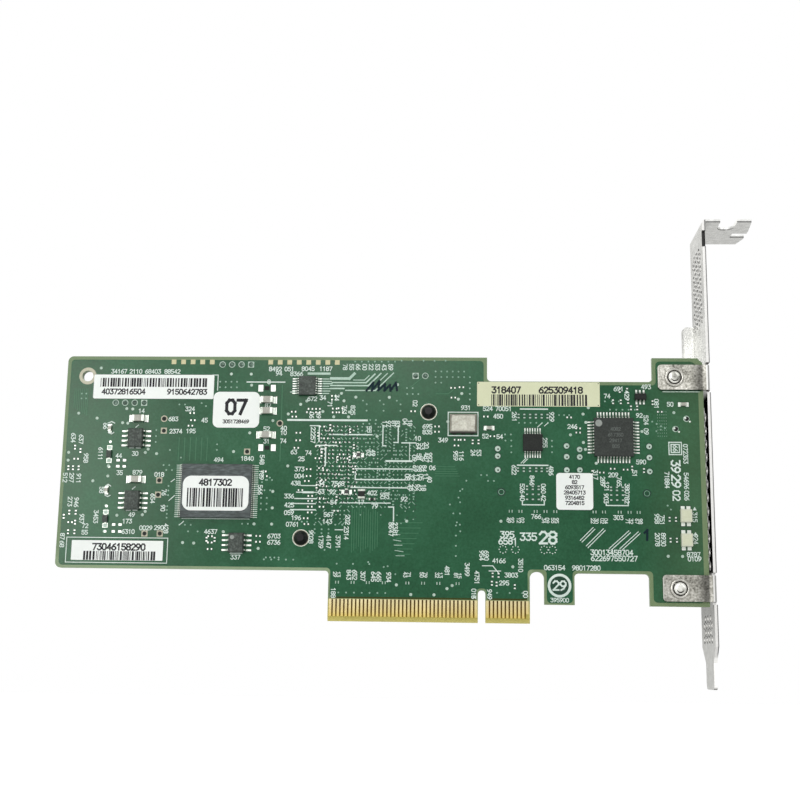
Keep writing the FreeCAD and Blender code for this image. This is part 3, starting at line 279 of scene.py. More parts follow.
def tone_laminate(nodes):
    """Bare glass laminate: greenish at the rim, and yellow beside the contacts and on the bevel."""
    rim = (117, 140, 102)
    pale_rim = (142, 163, 126)
    contact_zone = nodes.along(
        ("Z", 0.0, 20.0), (0.0, (210, 200, 118)), (1.2, (196, 182, 94)), (5.4, (176, 170, 104)), (5.9, rim),
        (11.0, rim), (12.0, pale_rim), (14.5, pale_rim), (18.0, rim))
    elsewhere = nodes.along(BOARD_SPAN, (0.0, (124, 144, 104)), (70.0, rim))
    past_contacts = nodes.along(("X", 10.0, 16.0), (12.6, 0), (13.4, 1))
    nodes.recolour(nodes.multiply(nodes.mix(contact_zone, elsewhere, past_contacts), nodes.tone))


def tone_contacts(nodes, *stops):
    """The contact row, toned by the height above the edge."""
    nodes.recolour(nodes.multiply(nodes.along(("Z", 0.0, 8.0), *stops), nodes.tone))


def tone_sheet(nodes):
    """Plated sheet: a smooth plate and mottled ears, with painted highlights on the bends, painted shadow
    beside the board, and painted light and shade on the plate and its edges.
    """
    ear_span = ("X", 44.0, 62.0)
    sheet_span = ("X", 54.0, 62.0)
    plate_span = ("X", 57.0, 61.0)
    depth_span = ("Y", -4.0, 12.0)
    sheet_grain = 700
    fine = nodes.noise(sheet_grain, SHEET_DETAIL)
    smooth = nodes.spread(fine, [(222, 222, 219), (242, 242, 239)])
    past_board = nodes.along(depth_span, (-0.6, 0), (0.6, 1))

    # The ears: painted shade before the bend, a painted highlight on the bend and on their cut ends, and
    # the lower ear darker
    ear_tones = nodes.along(ear_span, (46.0, 0.88), (53.5, 0.96), (56.3, 0.28), (57.0, 0.34), (57.4, 1.0))
    lower_ear = nodes.along(BOARD_SPAN, (20.0, 0.8), (58.0, 1.0))
    ear_end_highlight = nodes.along(ear_span, (45.7, (206, 204, 196)), (46.0, 0.0))
    toned = nodes.multiply(nodes.tone, nodes.multiply(ear_tones, lower_ear))
    ears = nodes.lighten(toned, ear_end_highlight)

    # The plate and its flange, with painted light and shade: a painted dark line along the flange's edge,
    # and the inner face painted lighter and darker from bottom to top; the outer face and the tab are toned
    # darker
    sheet_tones = nodes.along(sheet_span, (55.15, 0.4), (55.5, 0.8), (55.75, 1.0), (58.1, 1.0), (58.2, 0.0),
                              (58.5, 0.0), (58.9, 0.62), (61.0, 0.83))
    inner_tones = nodes.along(("Z", -16.0, 108.0), (-15.0, 1.0), (-4.0, 0.96), (3.0, 0.6), (60.0, 0.48),
                              (68.0, 0.86), (77.0, 0.72), (84.0, 0.47), (106.0, 0.54))
    outer_face = nodes.along(sheet_span, (58.5, 0), (58.8, 1))
    tones = nodes.mix(nodes.lighten(sheet_tones, inner_tones), sheet_tones, outer_face)
    past_ears = nodes.along(sheet_span, (58.0, 0), (58.2, 1))
    lit_tones = nodes.mix(ears, nodes.multiply(smooth, tones), nodes.lighten(past_board, past_ears))

    # Painted shadow on the part of the inner face that the board shelters, darkening its colour and its
    # grazing gloss
    board_shadow = (26, 30, 20)
    board_height = nodes.along(BOARD_SPAN, (12.6, 1.0), (14.0, board_shadow), (58.0, board_shadow), (60.0, 1.0))
    board_side = nodes.along(depth_span, (-1.9, 0.0), (5.5, 0.0), (9.0, 1.0))
    inner_face = nodes.along(("X", 57.0, 60.0), (57.8, 1.0), (58.0, 0.0), (58.3, 0.0), (58.4, 1.0))
    shade = nodes.lighten(nodes.lighten(board_side, inner_face), board_height)
    grazing = nodes.spread(fine, [(182, 182, 180), (194, 194, 192)])
    nodes.feed(nodes.shader, {"Specular Tint": nodes.multiply(grazing, shade)})

    # The cut edges of the plate and of the tab at its top, with painted light and shade: edges facing along
    # Y are painted bright and the others dark, a painted dark line runs along the outer corner, a dark mark
    # is painted as the shadow of a corner relief near the top, and the tab's edges are painted darker below
    # 106.1 mm
    walls = nodes.spread(nodes.facing("Y"), [(128, 128, 126), (250, 249, 246)], 0.45, 0.85)
    corner_line = nodes.along(plate_span, (58.2, 0.78), (58.8, 0.74), (58.92, 0.16))
    relief_shadow = nodes.along(("Z", 96.0, 108.0), (99.0, 1.0), (99.4, 0.05), (103.4, 0.05), (103.8, 1.0))
    edge_tones = nodes.lighten(nodes.multiply(corner_line, relief_shadow), past_board)
    plate = nodes.along(plate_span, (58.15, 0), (58.2, 1), (59.1, 1), (59.2, 0))
    on_edges = nodes.math("MULTIPLY", nodes.math("LESS_THAN", nodes.facing("X"), 0.5), plate)
    edged = nodes.mix(nodes.multiply(lit_tones, shade), nodes.multiply(walls, edge_tones), on_edges)
    tab_edge_shade = nodes.along(("Z", 104.0, 108.0), (106.1, 0.2), (106.3, 0.86))
    tab = nodes.along(plate_span, (59.1, 0), (59.3, 1))
    on_tab_edges = nodes.math("MULTIPLY", nodes.facing("Y"), tab)
    nodes.recolour(nodes.mix(edged, nodes.multiply(smooth, tab_edge_shade), on_tab_edges))


def tone_mask(nodes):
    """Green solder mask, with a faintly warm gloss, and a painted reflection that greys it towards the
    bracket.
    """
    warm_gloss = (1.0, 0.96, 0.9, 1)
    nodes.feed(nodes.shader, {"Specular Tint": warm_gloss})
    # A painted reflection: a grey veil added towards the bracket
    painted_veil = nodes.along(("X", 30.0, 60.0), (38.0, 0.0), (54.0, (46, 42, 30)))
    nodes.recolour(nodes.mix(nodes.tone, painted_veil, 1.0, "ADD"))


def tone_ceramic(nodes):
    """The oscillator's ceramic base, with a painted shadow along its lower edge."""
    painted_shadow_edge = nodes.along(("Z", 40.0, 60.0), (48.85, 0.2), (49.15, 1.0))
    nodes.recolour(nodes.multiply(nodes.tone, painted_shadow_edge))


def tone_capacitors(nodes):
    """Grey-brown ceramic, nearly black on the two small parts behind the controller."""
    behind = nodes.along(("X", -40.0, -26.0), (-36.4, 1.0), (-36.2, 0.06), (-31.0, 0.06), (-30.8, 1.0))
    on_component_side = nodes.along(("Y", -4.0, 4.0), (-0.1, 0), (0.1, 1))
    nodes.recolour(nodes.multiply(nodes.tone, nodes.lighten(behind, on_component_side)))


tone_laminate(SHADINGS["bare_laminate"])
tone_contacts(SHADINGS["contact_gold"],
              (1.2, (206, 184, 104)), (2.6, (212, 193, 132)), (5.6, (212, 200, 156)))
tone_contacts(SHADINGS["contact_gap"],
              (1.2, (138, 112, 34)), (2.4, (98, 72, 12)), (5.6, (66, 48, 8)), (6.0, (58, 66, 20)))
tone_sheet(SHADINGS["bracket_sheet"])
tone_mask(SHADINGS["solder_mask"])
tone_ceramic(SHADINGS["ceramic_base"])
tone_capacitors(SHADINGS["capacitor_body"])


# New pieces


def add_object(name, data):
    """A new object in the scene."""
    item = bpy.data.objects.new(name, data)
    bpy.context.scene.collection.objects.link(item)
    return item


def add_piece(name, mesh, finish):
    """A new object that moves with the card, in one of the finishes."""
    mesh.materials.append(SHADINGS[finish].owner)
    piece = add_object(name, mesh)
    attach(piece, BODY)
    return piece


class Piece:
    """Points in millimetres and faces, gathered into one new piece."""

    smooth = False

    def __init__(self, name, finish, side=SOLDER):
        self.name = name
        self.finish = finish
        self.side = side
        self.points = []
        self.faces = []

    def join_rings(self, start, count, anticlockwise):
        """Outer faces from ring to ring of points, by the way the rings run, as seen from the last."""
        for lower in range(start, len(self.points) - count, count):
            upper = lower + count
            for i in range(count):
                pair = (i, (i + 1) % count)
                first, second = pair if anticlockwise else reversed(pair)
                self.faces.append((lower + first, lower + second, upper + second, upper + first))

    def build(self):
        mesh = bpy.data.meshes.new(self.name)
        mesh.from_pydata([[value * MM for value in point] for point in self.points], [], self.faces)
        if self.smooth:
            mesh.shade_smooth()
        add_piece(self.name, mesh, self.finish)


SQUARE_CORNERS = [(-1, -1), (1, -1), (1, 1), (-1, 1)]


def circle(x, z, diameter, count):
    """Points round a circle, anticlockwise."""
    turn = 2 * math.pi / count
    radius = diameter / 2
    return [(x + radius * math.cos(i * turn), z + radius * math.sin(i * turn)) for i in range(count)]


def corners_about(x, z, half_w, half_h):
    """The corners of a rectangle by its middle, anticlockwise, or clockwise where half_w is below zero."""
    return [(x + u * half_w, z + v * half_h) for u, v in SQUARE_CORNERS]


def rounded_loop(corners, radius, steps=5):
    """The corners of a closed outline, each replaced by an arc."""
    loop = []
    count = len(corners)
    for i in range(count):
        corner = Vector(corners[i])
        before = Vector(corners[i - 1]) - corner
        after = Vector(corners[(i + 1) % count]) - corner
        reach = min(radius, before.length / 2, after.length / 2)
        start = corner + before.normalized() * reach
        end = corner + after.normalized() * reach
        for k in range(steps + 1):
            t = k / steps
            point = start * (1 - t) ** 2 + corner * 2 * t * (1 - t) + end * t ** 2
            loop.append((point.x, point.y))
    return loop


def row_places(x, z, step_x, step_z, count):
    """Places at even steps from the first."""
    return [(x + step_x * i, z + step_z * i) for i in range(count)]


def crossings(*groups):
    """Places where columns and rows cross, group by group."""
    return [(x, z) for columns, rows in groups for x in columns for z in rows]


# Flat artwork

# Each digit as one line through points, for a height of one
DIGIT_LINES = {
    "0": [(0, 0.22), (0, 0.78), (0.18, 1), (0.42, 1), (0.6, 0.78), (0.6, 0.22), (0.42, 0), (0.18, 0),
          (0, 0.22)],
    "1": [(0.08, 0.78), (0.32, 1), (0.32, 0)],
    "2": [(0, 0.8), (0.18, 1), (0.42, 1), (0.6, 0.82), (0.6, 0.62), (0, 0), (0.6, 0)],
    "3": [(0, 1), (0.58, 1), (0.28, 0.6), (0.42, 0.6), (0.6, 0.42), (0.6, 0.18), (0.42, 0), (0.16, 0),
          (0, 0.15)],
    "4": [(0.45, 0), (0.45, 1), (0, 0.3), (0.62, 0.3)],
    "5": [(0.58, 1), (0.06, 1), (0.02, 0.56), (0.4, 0.6), (0.6, 0.42), (0.6, 0.18), (0.42, 0), (0.16, 0),
          (0, 0.14)],
    "6": [(0.52, 1), (0.25, 0.85), (0, 0.45), (0, 0.2), (0.18, 0), (0.42, 0), (0.6, 0.2), (0.6, 0.38),
          (0.42, 0.56), (0.16, 0.56), (0, 0.4)],
    "7": [(0, 1), (0.6, 1), (0.2, 0)],
    "8": [(0.18, 0.54), (0, 0.7), (0, 0.84), (0.18, 1), (0.42, 1), (0.6, 0.84), (0.6, 0.7), (0.42, 0.54),
          (0.6, 0.38), (0.6, 0.16), (0.42, 0), (0.18, 0), (0, 0.16), (0, 0.38), (0.18, 0.54), (0.42, 0.54)],
    "9": [(0.08, 0), (0.35, 0.15), (0.6, 0.55), (0.6, 0.8), (0.42, 1), (0.18, 1), (0, 0.8), (0, 0.62),
          (0.18, 0.44), (0.44, 0.44), (0.6, 0.6)],
}
DIGIT_WIDTH = 0.6
DIGIT_STEP = 0.82
DIGIT_STROKE = 0.19
BOLD_STROKE = 0.235

# How far the mask stays clear of a tinned pad
MASK_GAP = 0.16

# Two small pads, as (reach from their middle, width, height)
UPRIGHT_PAIR = (0.42, 0.46, 0.34)
LEVEL_PAIR = (0.5, 0.34, 0.42)

# Bars and the gaps between them are one to three times these widths
BAR_WIDTH = 0.18
BAR_GAP = 0.12
BAR_MOST = 3

# Neighbouring shapes lie at slightly different heights, so that none shares another's plane
STAGGER = 0.002
STAGGER_COUNT = 5


class Artwork(Piece):
    """Flat shapes at one level on one side of the board."""

    def __init__(self, name, side, level, finish, stroke=DIGIT_STROKE):
        super().__init__(name, finish, side)
        self.level = level
        self.stroke = stroke
        self.clearance = None

    def polygon(self, corners):
        """A filled shape, its corners counted anticlockwise as the solder side is seen."""
        start = len(self.points)
        level = self.level + STAGGER * (len(self.faces) % STAGGER_COUNT)
        for x, z in corners:
            self.points.append((x, self.side * level, z))
        order = range(start, len(self.points))
        self.faces.append(tuple(order) if self.side == SOLDER else tuple(reversed(order)))

    def rectangle(self, x, z, width, height):
        """A rectangle by its middle, with the gap in the mask around it where the layer has one."""
        if self.clearance:
            self.clearance.rectangle(x, z, width + MASK_GAP * 2, height + MASK_GAP * 2)
        self.polygon(corners_about(x, z, width / 2, height / 2))

    def pair(self, x, z, upright):
        """Two small pads, one above the other or side by side."""
        reach, width, height = UPRIGHT_PAIR if upright else LEVEL_PAIR
        for side in (-reach, reach):
            self.rectangle(x + (0 if upright else side), z + (side if upright else 0), width, height)

    def pad_row(self, x, z, count, pitch, length, width, along_x):
        """Pads of one chip side, spread about their middle."""
        for i in range(count):
            offset = (i - (count - 1) / 2) * pitch
            if along_x:
                self.rectangle(x + offset, z, width, length)
            else:
                self.rectangle(x, z + offset, length, width)

    def disc(self, x, z, diameter, count=14):
        self.polygon(circle(x, z, diameter, count))

    def segment(self, x, z, diameter, cut, count):
        """The part of a disc past a straight cut."""
        self.polygon([(u, v) for u, v in circle(x, z, diameter, count) if u >= x + cut])

    def band(self, outside, inside):
        """A closed band between two loops of as many points."""
        for i in range(len(outside)):
            j = (i + 1) % len(outside)
            self.polygon([outside[i], outside[j], inside[j], inside[i]])

    def ring(self, x, z, outer, inner, count=24):
        self.band(circle(x, z, outer, count), circle(x, z, inner, count))

    def square_ring(self, x, z, side, hole, count=24):
        """A square pad with a round hole."""
        outside = []
        for u, v in circle(0, 0, 2, count):
            reach = side / 2 / max(abs(u), abs(v))
            outside.append((x + u * reach, z + v * reach))
        self.band(outside, circle(x, z, hole, count))

    def line(self, points, width):
        """A line of one width through the points, with square ends."""
        for (x0, z0), (x1, z1) in zip(points, points[1:]):
            along = Vector((x1 - x0, z1 - z0)).normalized() * (width / 2)
            across = Vector((along.y, -along.x))
            start = Vector((x0, z0)) - along
            end = Vector((x1, z1)) + along
            self.polygon([start + across, end + across, end - across, start - across])

    def frame(self, x, z, half_w, half_h, width):
        """A rectangle drawn as a line, by its middle."""
        corners = corners_about(x, z, half_w, half_h)
        self.line([*corners, corners[0]], width)

    def number(self, x, z, text, height, upright=False):
        """A row of plain digits by its middle; upright rows read downwards."""
        reading = 1 if self.side == SOLDER else -1
        step = height * DIGIT_STEP
        length = step * (len(text) - 1) + height * DIGIT_WIDTH
        for index, digit in enumerate(text):
            left = -length / 2 + index * step
            corners = [(left + u * height, (v - 0.5) * height) for u, v in DIGIT_LINES[digit]]
            if upright:
                corners = [(v, -u) for u, v in corners]
            self.line([(x + u * reading, z + v) for u, v in corners], height * self.stroke)

    def bars(self, left, bottom, right, top, seed):
        """A made-up row of bars of a few widths."""
        widths = random.Random(seed)
        x = left
        while x < right:
            bar = BAR_WIDTH * widths.randint(1, BAR_MOST)
            self.rectangle(x + bar / 2, (bottom + top) / 2, bar, top - bottom)
            x += bar + BAR_GAP * widths.randint(1, BAR_MOST)


def make_layers(side, table):
    """A layer of artwork for each row of a table; the tinned pads stand in gaps in the mask."""
    layers = {}
    for key, (name, height, finish) in table.items():
        layers[key] = Artwork(name, side, HALF_BOARD + height, finish)
    layers["tin"].clearance = layers["gap"]
    return layers


def draw_about(layers, table):
    """The same few shapes about each place of a list, as (layer, shape, shift along X and Z, sizes)."""
    for places, shapes in table:
        for x, z, *more in places:
            for layer, shape, shift_x, shift_z, *sizes in shapes:
                getattr(layers[layer], shape)(x + shift_x, z + shift_z, *sizes, *more)


# Places on the board, in millimetres along X and Z

CORNER_HOLE = (-104.76, 63.5)
PUSH_PINS = [(-13.92, 54.24), (-46.52, 21.0)]
SCREWS = [(49.8, 63.55), (49.8, 9.15)]
CONTACT_FIELD_TOP = 5.75

# A number in a printed ring
RING_MARK = (19.7, 9.6)
RING_MARK_FIELD = 5.2
RING_MARK_EDGES = (6.0, 4.7)
RING_MARK_SIDES = 40

# Pin headers, as (x, z, count, which pin has a square pad)
HEADERS = [(-68.75, 66.77, 4, 3), (-96.85, 56.3, 4, 3), (-17.45, 63.9, 2, 0)]
HEADER_PITCH = 2.54
HEADER_PINS = [place for x, z, count, _ in HEADERS for place in row_places(x, z, HEADER_PITCH, 0, count)]
SQUARE_PINS = [(x + HEADER_PITCH * square, z) for x, z, _, square in HEADERS]
HEADER_ROUND = 1.7
HEADER_SQUARE = 1.6
HEADER_HOLE = 1.34


# Solder mask

RIM = 0.9
CORNER_CUT = 1.3
OUTLINE_ROUNDING = 1.2

# Clear holes in the mask, as (places, diameter, sides)
MASK_HOLES = [([CORNER_HOLE], 4.5, 36), (PUSH_PINS, 3.5, 36), (SCREWS, 3.4, 36), (HEADER_PINS, 1.1, 16)]


def mask_outline():
    """The board's outline drawn in by the bare rim, and cut off above the contacts."""
    left = board_low[0] / MM + RIM
    right = board_high[0] / MM - CORNER_CUT
    top = board_high[2] / MM - RIM
    bottom = 12.75 + RIM * 0.8
    field_left = -39.15 + RIM * 0.5
    field_right = 12.2 - RIM * 0.6
    key_half = 0.95 + RIM * 0.4
    key_top = 8.2 + RIM * 0.5
    slot_top = 13.05 + RIM * 0.6
    hook_left = 15.85 + RIM * 0.7
    hook_right = 23.5 - RIM * 0.5
    hook_bottom = 4.8 + RIM * 0.4
    tab_left = 42.4 + RIM
    tab_bottom = 4.7 + RIM
    step_left = 1.3 - RIM
    step_right = 44.25 + RIM
    step_level = 62.5 - RIM
    return [
        (left, bottom), (field_left, bottom), (field_left, CONTACT_FIELD_TOP),
        (-key_half, CONTACT_FIELD_TOP), (-key_half, key_top), (key_half, key_top),
        (key_half, CONTACT_FIELD_TOP), (field_right, CONTACT_FIELD_TOP), (field_right, slot_top),
        (hook_left, slot_top),
        (hook_left, hook_bottom), (hook_right, hook_bottom), (hook_right, bottom), (tab_left, bottom),
        (tab_left, tab_bottom), (right, tab_bottom), (right, top - CORNER_CUT), (right - CORNER_CUT, top),
        (step_right, top), (step_right, step_level), (step_left, step_level), (step_left, top), (left, top),
    ]


def make_mask(name, side):
    """The solder mask as a thin coat with clear holes."""
    loops = [rounded_loop(mask_outline(), OUTLINE_ROUNDING)]
    for places, diameter, count in MASK_HOLES:
        for x, z in places:
            loops.append(circle(x, z, diameter, count))
    level = side * (HALF_BOARD + MASK_HEIGHT)
    points = [(x * MM, level * MM, z * MM) for loop in loops for x, z in loop]
    triangles = geometry.tessellate_polygon([[Vector((x, z, 0)) for x, z in loop] for loop in loops])
    mesh = bpy.data.meshes.new(name)
    mesh.from_pydata(points, [], triangles)
    mesh.update()
    if mesh.polygons[0].normal.y * side < 0:
        mesh.flip_normals()
    add_piece(name, mesh, "solder_mask")


# Dark strips over the contact gaps, painted shade on the contacts' edges; rows of gaps are (first gap,
# count)

CONTACT_GAPS = [(-38.0, 37), (2.0, 10)]
GAP_LEVEL = 3.4
GAP_WIDTH = 0.4
GAP_HEIGHT = 4.3
GAP_END_LEVEL = 6.0
GAP_END_HEIGHT = 0.34


def draw_contact_gaps(name, side):
    """Dark strips between the contacts of one side, and along their upper ends, with painted shade on the
    contacts' edges.
    """
    gaps = Artwork(name, side, HALF_BOARD + PAD_HEIGHT, "contact_gap")
    for first, count in CONTACT_GAPS:
        for i in range(count):
            gaps.rectangle(first + i, GAP_LEVEL, GAP_WIDTH, GAP_HEIGHT)
        gaps.rectangle(first + (count - 1) / 2, GAP_END_LEVEL, count, GAP_END_HEIGHT)
    gaps.build()


# Printed numbers on the solder side, as (x, z, digits), read along and read downwards

LEGEND_SEED = 4
NUMBERS_ALONG = [
    (-96.4, 64.8, 5), (-91.9, 64.8, 4), (-87.3, 64.8, 5), (-82.1, 64.8, 5), (-89.8, 54.1, 2),
    (-90.9, 42.7, 2), (-95.2, 42.1, 2), (-76.9, 54.7, 3), (-72.9, 51.7, 2), (-76.4, 48.8, 3),
    (-81.2, 52.0, 3), (-80.4, 48.7, 4), (-61.2, 41.6, 4), (-68.7, 41.2, 3), (-48.9, 64.3, 4),
    (-53.6, 64.4, 2), (-44.6, 57.6, 3), (-41.8, 57.9, 2), (-51.9, 49.7, 2), (-51.9, 48.5, 2),
    (-51.9, 46.3, 2), (-56.2, 62.1, 1), (-56.2, 55.8, 2), (-56.4, 49.5, 2), (-56.3, 46.2, 2),
    (-49.0, 43.4, 2), (-45.2, 43.2, 2), (-47.0, 41.6, 2), (-14.2, 50.4, 3), (-14.2, 48.9, 3),
    (-16.7, 47.2, 2), (-10.1, 46.8, 3), (-4.2, 55.4, 3), (1.5, 55.2, 3), (5.6, 55.2, 5), (4.2, 53.2, 3),
    (4.6, 47.8, 2), (0.9, 47.9, 2), (35.5, 60.6, 3), (42.6, 61.2, 3), (32.5, 58.7, 2), (23.4, 50.6, 3),
    (40.7, 53.6, 2), (40.9, 41.4, 3), (48.7, 56.6, 2), (-103.0, 23.6, 2), (-103.0, 21.9, 2),
    (-90.9, 26.6, 2), (-92.0, 24.9, 3), (-91.6, 22.2, 4), (-87.0, 23.2, 4), (-83.6, 23.3, 3),
    (-90.0, 37.7, 3), (-94.7, 37.6, 2), (-84.2, 37.2, 3), (-70.0, 22.4, 4), (-63.3, 15.9, 3),
    (-53.5, 21.4, 4), (-53.5, 19.8, 4), (-47.4, 38.9, 3), (-47.4, 37.1, 3), (-48.3, 35.2, 3),
    (-49.9, 31.8, 3), (-49.8, 29.5, 3), (-49.8, 27.5, 3), (-47.9, 26.2, 3), (-48.8, 24.5, 4),
    (-41.6, 33.1, 2), (-38.6, 33.0, 2), (-38.3, 30.3, 2), (-37.3, 35.2, 4), (-41.6, 35.2, 2),
    (-39.5, 27.1, 3), (-39.8, 25.3, 3), (-12.8, 39.5, 2), (-20.0, 31.3, 2), (-28.4, 32.8, 3),
    (-27.6, 29.4, 2), (13.9, 27.1, 3), (34.8, 27.0, 3), (33.7, 38.0, 3), (4.4, 15.7, 4), (7.5, 12.1, 4),
    (5.7, 10.1, 3), (53.6, 17.8, 4), (53.8, 16.7, 4), (-31.2, 30.4, 2), (-54.6, 65.6, 4), (-50.9, 65.6, 3),
    (-45.9, 65.7, 4), (-41.2, 65.7, 4),
]
NUMBERS_DOWN = [
    (-107.6, 46.8, 3), (-105.5, 46.4, 3), (-100.1, 42.6, 4), (-103.9, 41.4, 3), (-99.2, 50.0, 2),
    (-39.9, 56.2, 2), (-38.1, 57.9, 2), (-36.0, 54.6, 3), (-33.8, 54.6, 3), (-44.1, 47.9, 5),
    (-57.3, 41.3, 3), (-17.5, 56.5, 2), (-20.1, 51.6, 2), (-18.8, 51.3, 2), (-25.4, 51.0, 2),
    (-24.4, 51.0, 2), (-23.0, 51.0, 2), (-22.0, 51.0, 2), (-16.5, 45.1, 2), (-15.5, 45.1, 2),
    (-14.4, 45.4, 2), (-17.5, 42.0, 2), (-16.3, 42.4, 2), (-15.4, 42.0, 2), (-14.4, 42.2, 3),
    (-13.5, 42.2, 3), (-29.4, 43.3, 2), (-28.3, 43.3, 2), (-29.4, 49.5, 2), (8.4, 53.1, 3),
    (18.1, 53.1, 3), (-2.3, 43.5, 2), (-0.8, 43.5, 2), (-6.8, 42.7, 3), (-5.3, 42.7, 3), (16.3, 46.3, 3),
    (42.4, 52.4, 3), (42.4, 49.4, 2), (45.2, 56.7, 3), (-109.1, 36.2, 3), (-107.4, 36.2, 3),
    (-105.5, 36.0, 3), (-107.4, 29.9, 3), (-105.7, 29.7, 3), (-104.0, 25.4, 3), (-100.3, 26.0, 4),
    (-99.2, 33.0, 2), (-108.8, 20.8, 2), (-108.8, 18.8, 2), (-85.6, 30.9, 3), (-82.7, 32.5, 2),
    (-82.8, 28.4, 2), (-81.7, 23.1, 3), (-57.3, 37.3, 3), (-57.5, 33.4, 3), (-43.9, 21.3, 4),
    (-41.3, 20.1, 4), (-39.3, 20.1, 4), (-36.9, 20.1, 4), (-34.8, 22.4, 4), (-34.5, 25.8, 3),
    (-17.3, 39.3, 2), (-16.1, 39.3, 2), (-14.9, 39.3, 2), (-19.3, 37.0, 2), (-18.1, 37.0, 2),
    (-16.9, 37.0, 2), (-15.7, 37.0, 2), (-14.5, 37.2, 2), (-13.5, 36.5, 2), (-18.6, 34.3, 2),
    (-17.4, 34.3, 2), (-16.2, 34.3, 2), (-15.0, 34.3, 2), (-25.6, 32.1, 2), (-24.5, 32.1, 2),
    (-23.3, 24.4, 2), (-22.2, 24.4, 2), (-23.3, 22.5, 2), (-22.2, 22.5, 2), (8.3, 39.1, 3),
    (17.8, 39.0, 3), (12.9, 36.4, 3), (10.4, 34.3, 3), (15.8, 34.3, 3), (10.4, 31.9, 2), (15.8, 31.9, 2),
    (32.0, 35.0, 3), (31.8, 31.9, 3), (37.2, 34.5, 3), (37.1, 31.9, 3), (35.2, 36.3, 3), (31.0, 36.3, 3),
    (29.2, 38.0, 3), (0.0, 17.0, 3), (1.2, 17.0, 3), (-3.7, 13.4, 4), (-1.2, 11.4, 4), (9.9, 14.6, 4),
    (44.6, 26.8, 3), (45.9, 26.5, 3), (44.6, 21.5, 4), (46.1, 21.5, 4), (54.2, 27.3, 3), (54.2, 21.7, 3),
    (-37.8, 7.1, 3), (-2.0, 7.3, 3), (2.0, 7.2, 3), (11.1, 7.3, 2), (52.3, 43.6, 6), (52.3, 36.6, 5),
    (52.3, 32.8, 3), (47.4, 36.8, 5), (-33.9, 11.7, 3), (-32.4, 11.7, 3), (-30.3, 11.4, 3),
    (-27.6, 11.3, 3), (-26.2, 11.3, 3), (-23.7, 11.2, 3), (-8.8, 13.0, 3), (-44.6, 53.2, 2),
    (-42.8, 53.2, 2), (37.6, 58.9, 3), (39.2, 38.4, 2),
]
SMALL_NUMBER = 1.05

# Two upright numbers side by side, by their middle
PAIRED_NUMBERS = [
    (-37.0, 11.8), (-19.0, 11.9), (-14.8, 11.9), (-10.9, 11.9), (-6.1, 11.8), (7.3, 26.1), (9.9, 26.1),
    (16.3, 26.1), (18.7, 26.1), (28.8, 26.1), (31.2, 26.1), (37.6, 26.1), (40.0, 26.1),
]
PAIRED_NUMBER = 0.86
PAIRED_REACH = 0.46
TOP_NUMBERS = row_places(-36.1, 66.2, 1.72, 0, 8)

# As (x, z, digits, height)
LARGE_NUMBERS = [
    (6.5, 22.4, 3, 1.5), (6.7, 20.7, 4, 1.5), (11.9, 21.9, 3, 1.8), (16.9, 21.7, 2, 2.9),
    (33.0, 18.1, 11, 1.2), (33.6, 16.6, 12, 1.2), (18.5, 14.1, 6, 1.1), (26.5, 14.1, 8, 1.1),
    (*RING_MARK, 2, 2.2), (19.7, 5.95, 6, 0.95),
]
LARGE_NUMBERS_DOWN = [
    (49.7, 45.0, 2, 1.05), (49.7, 40.3, 2, 2.1), (49.7, 36.5, 2, 2.1), (49.7, 32.8, 2, 1.7),
]

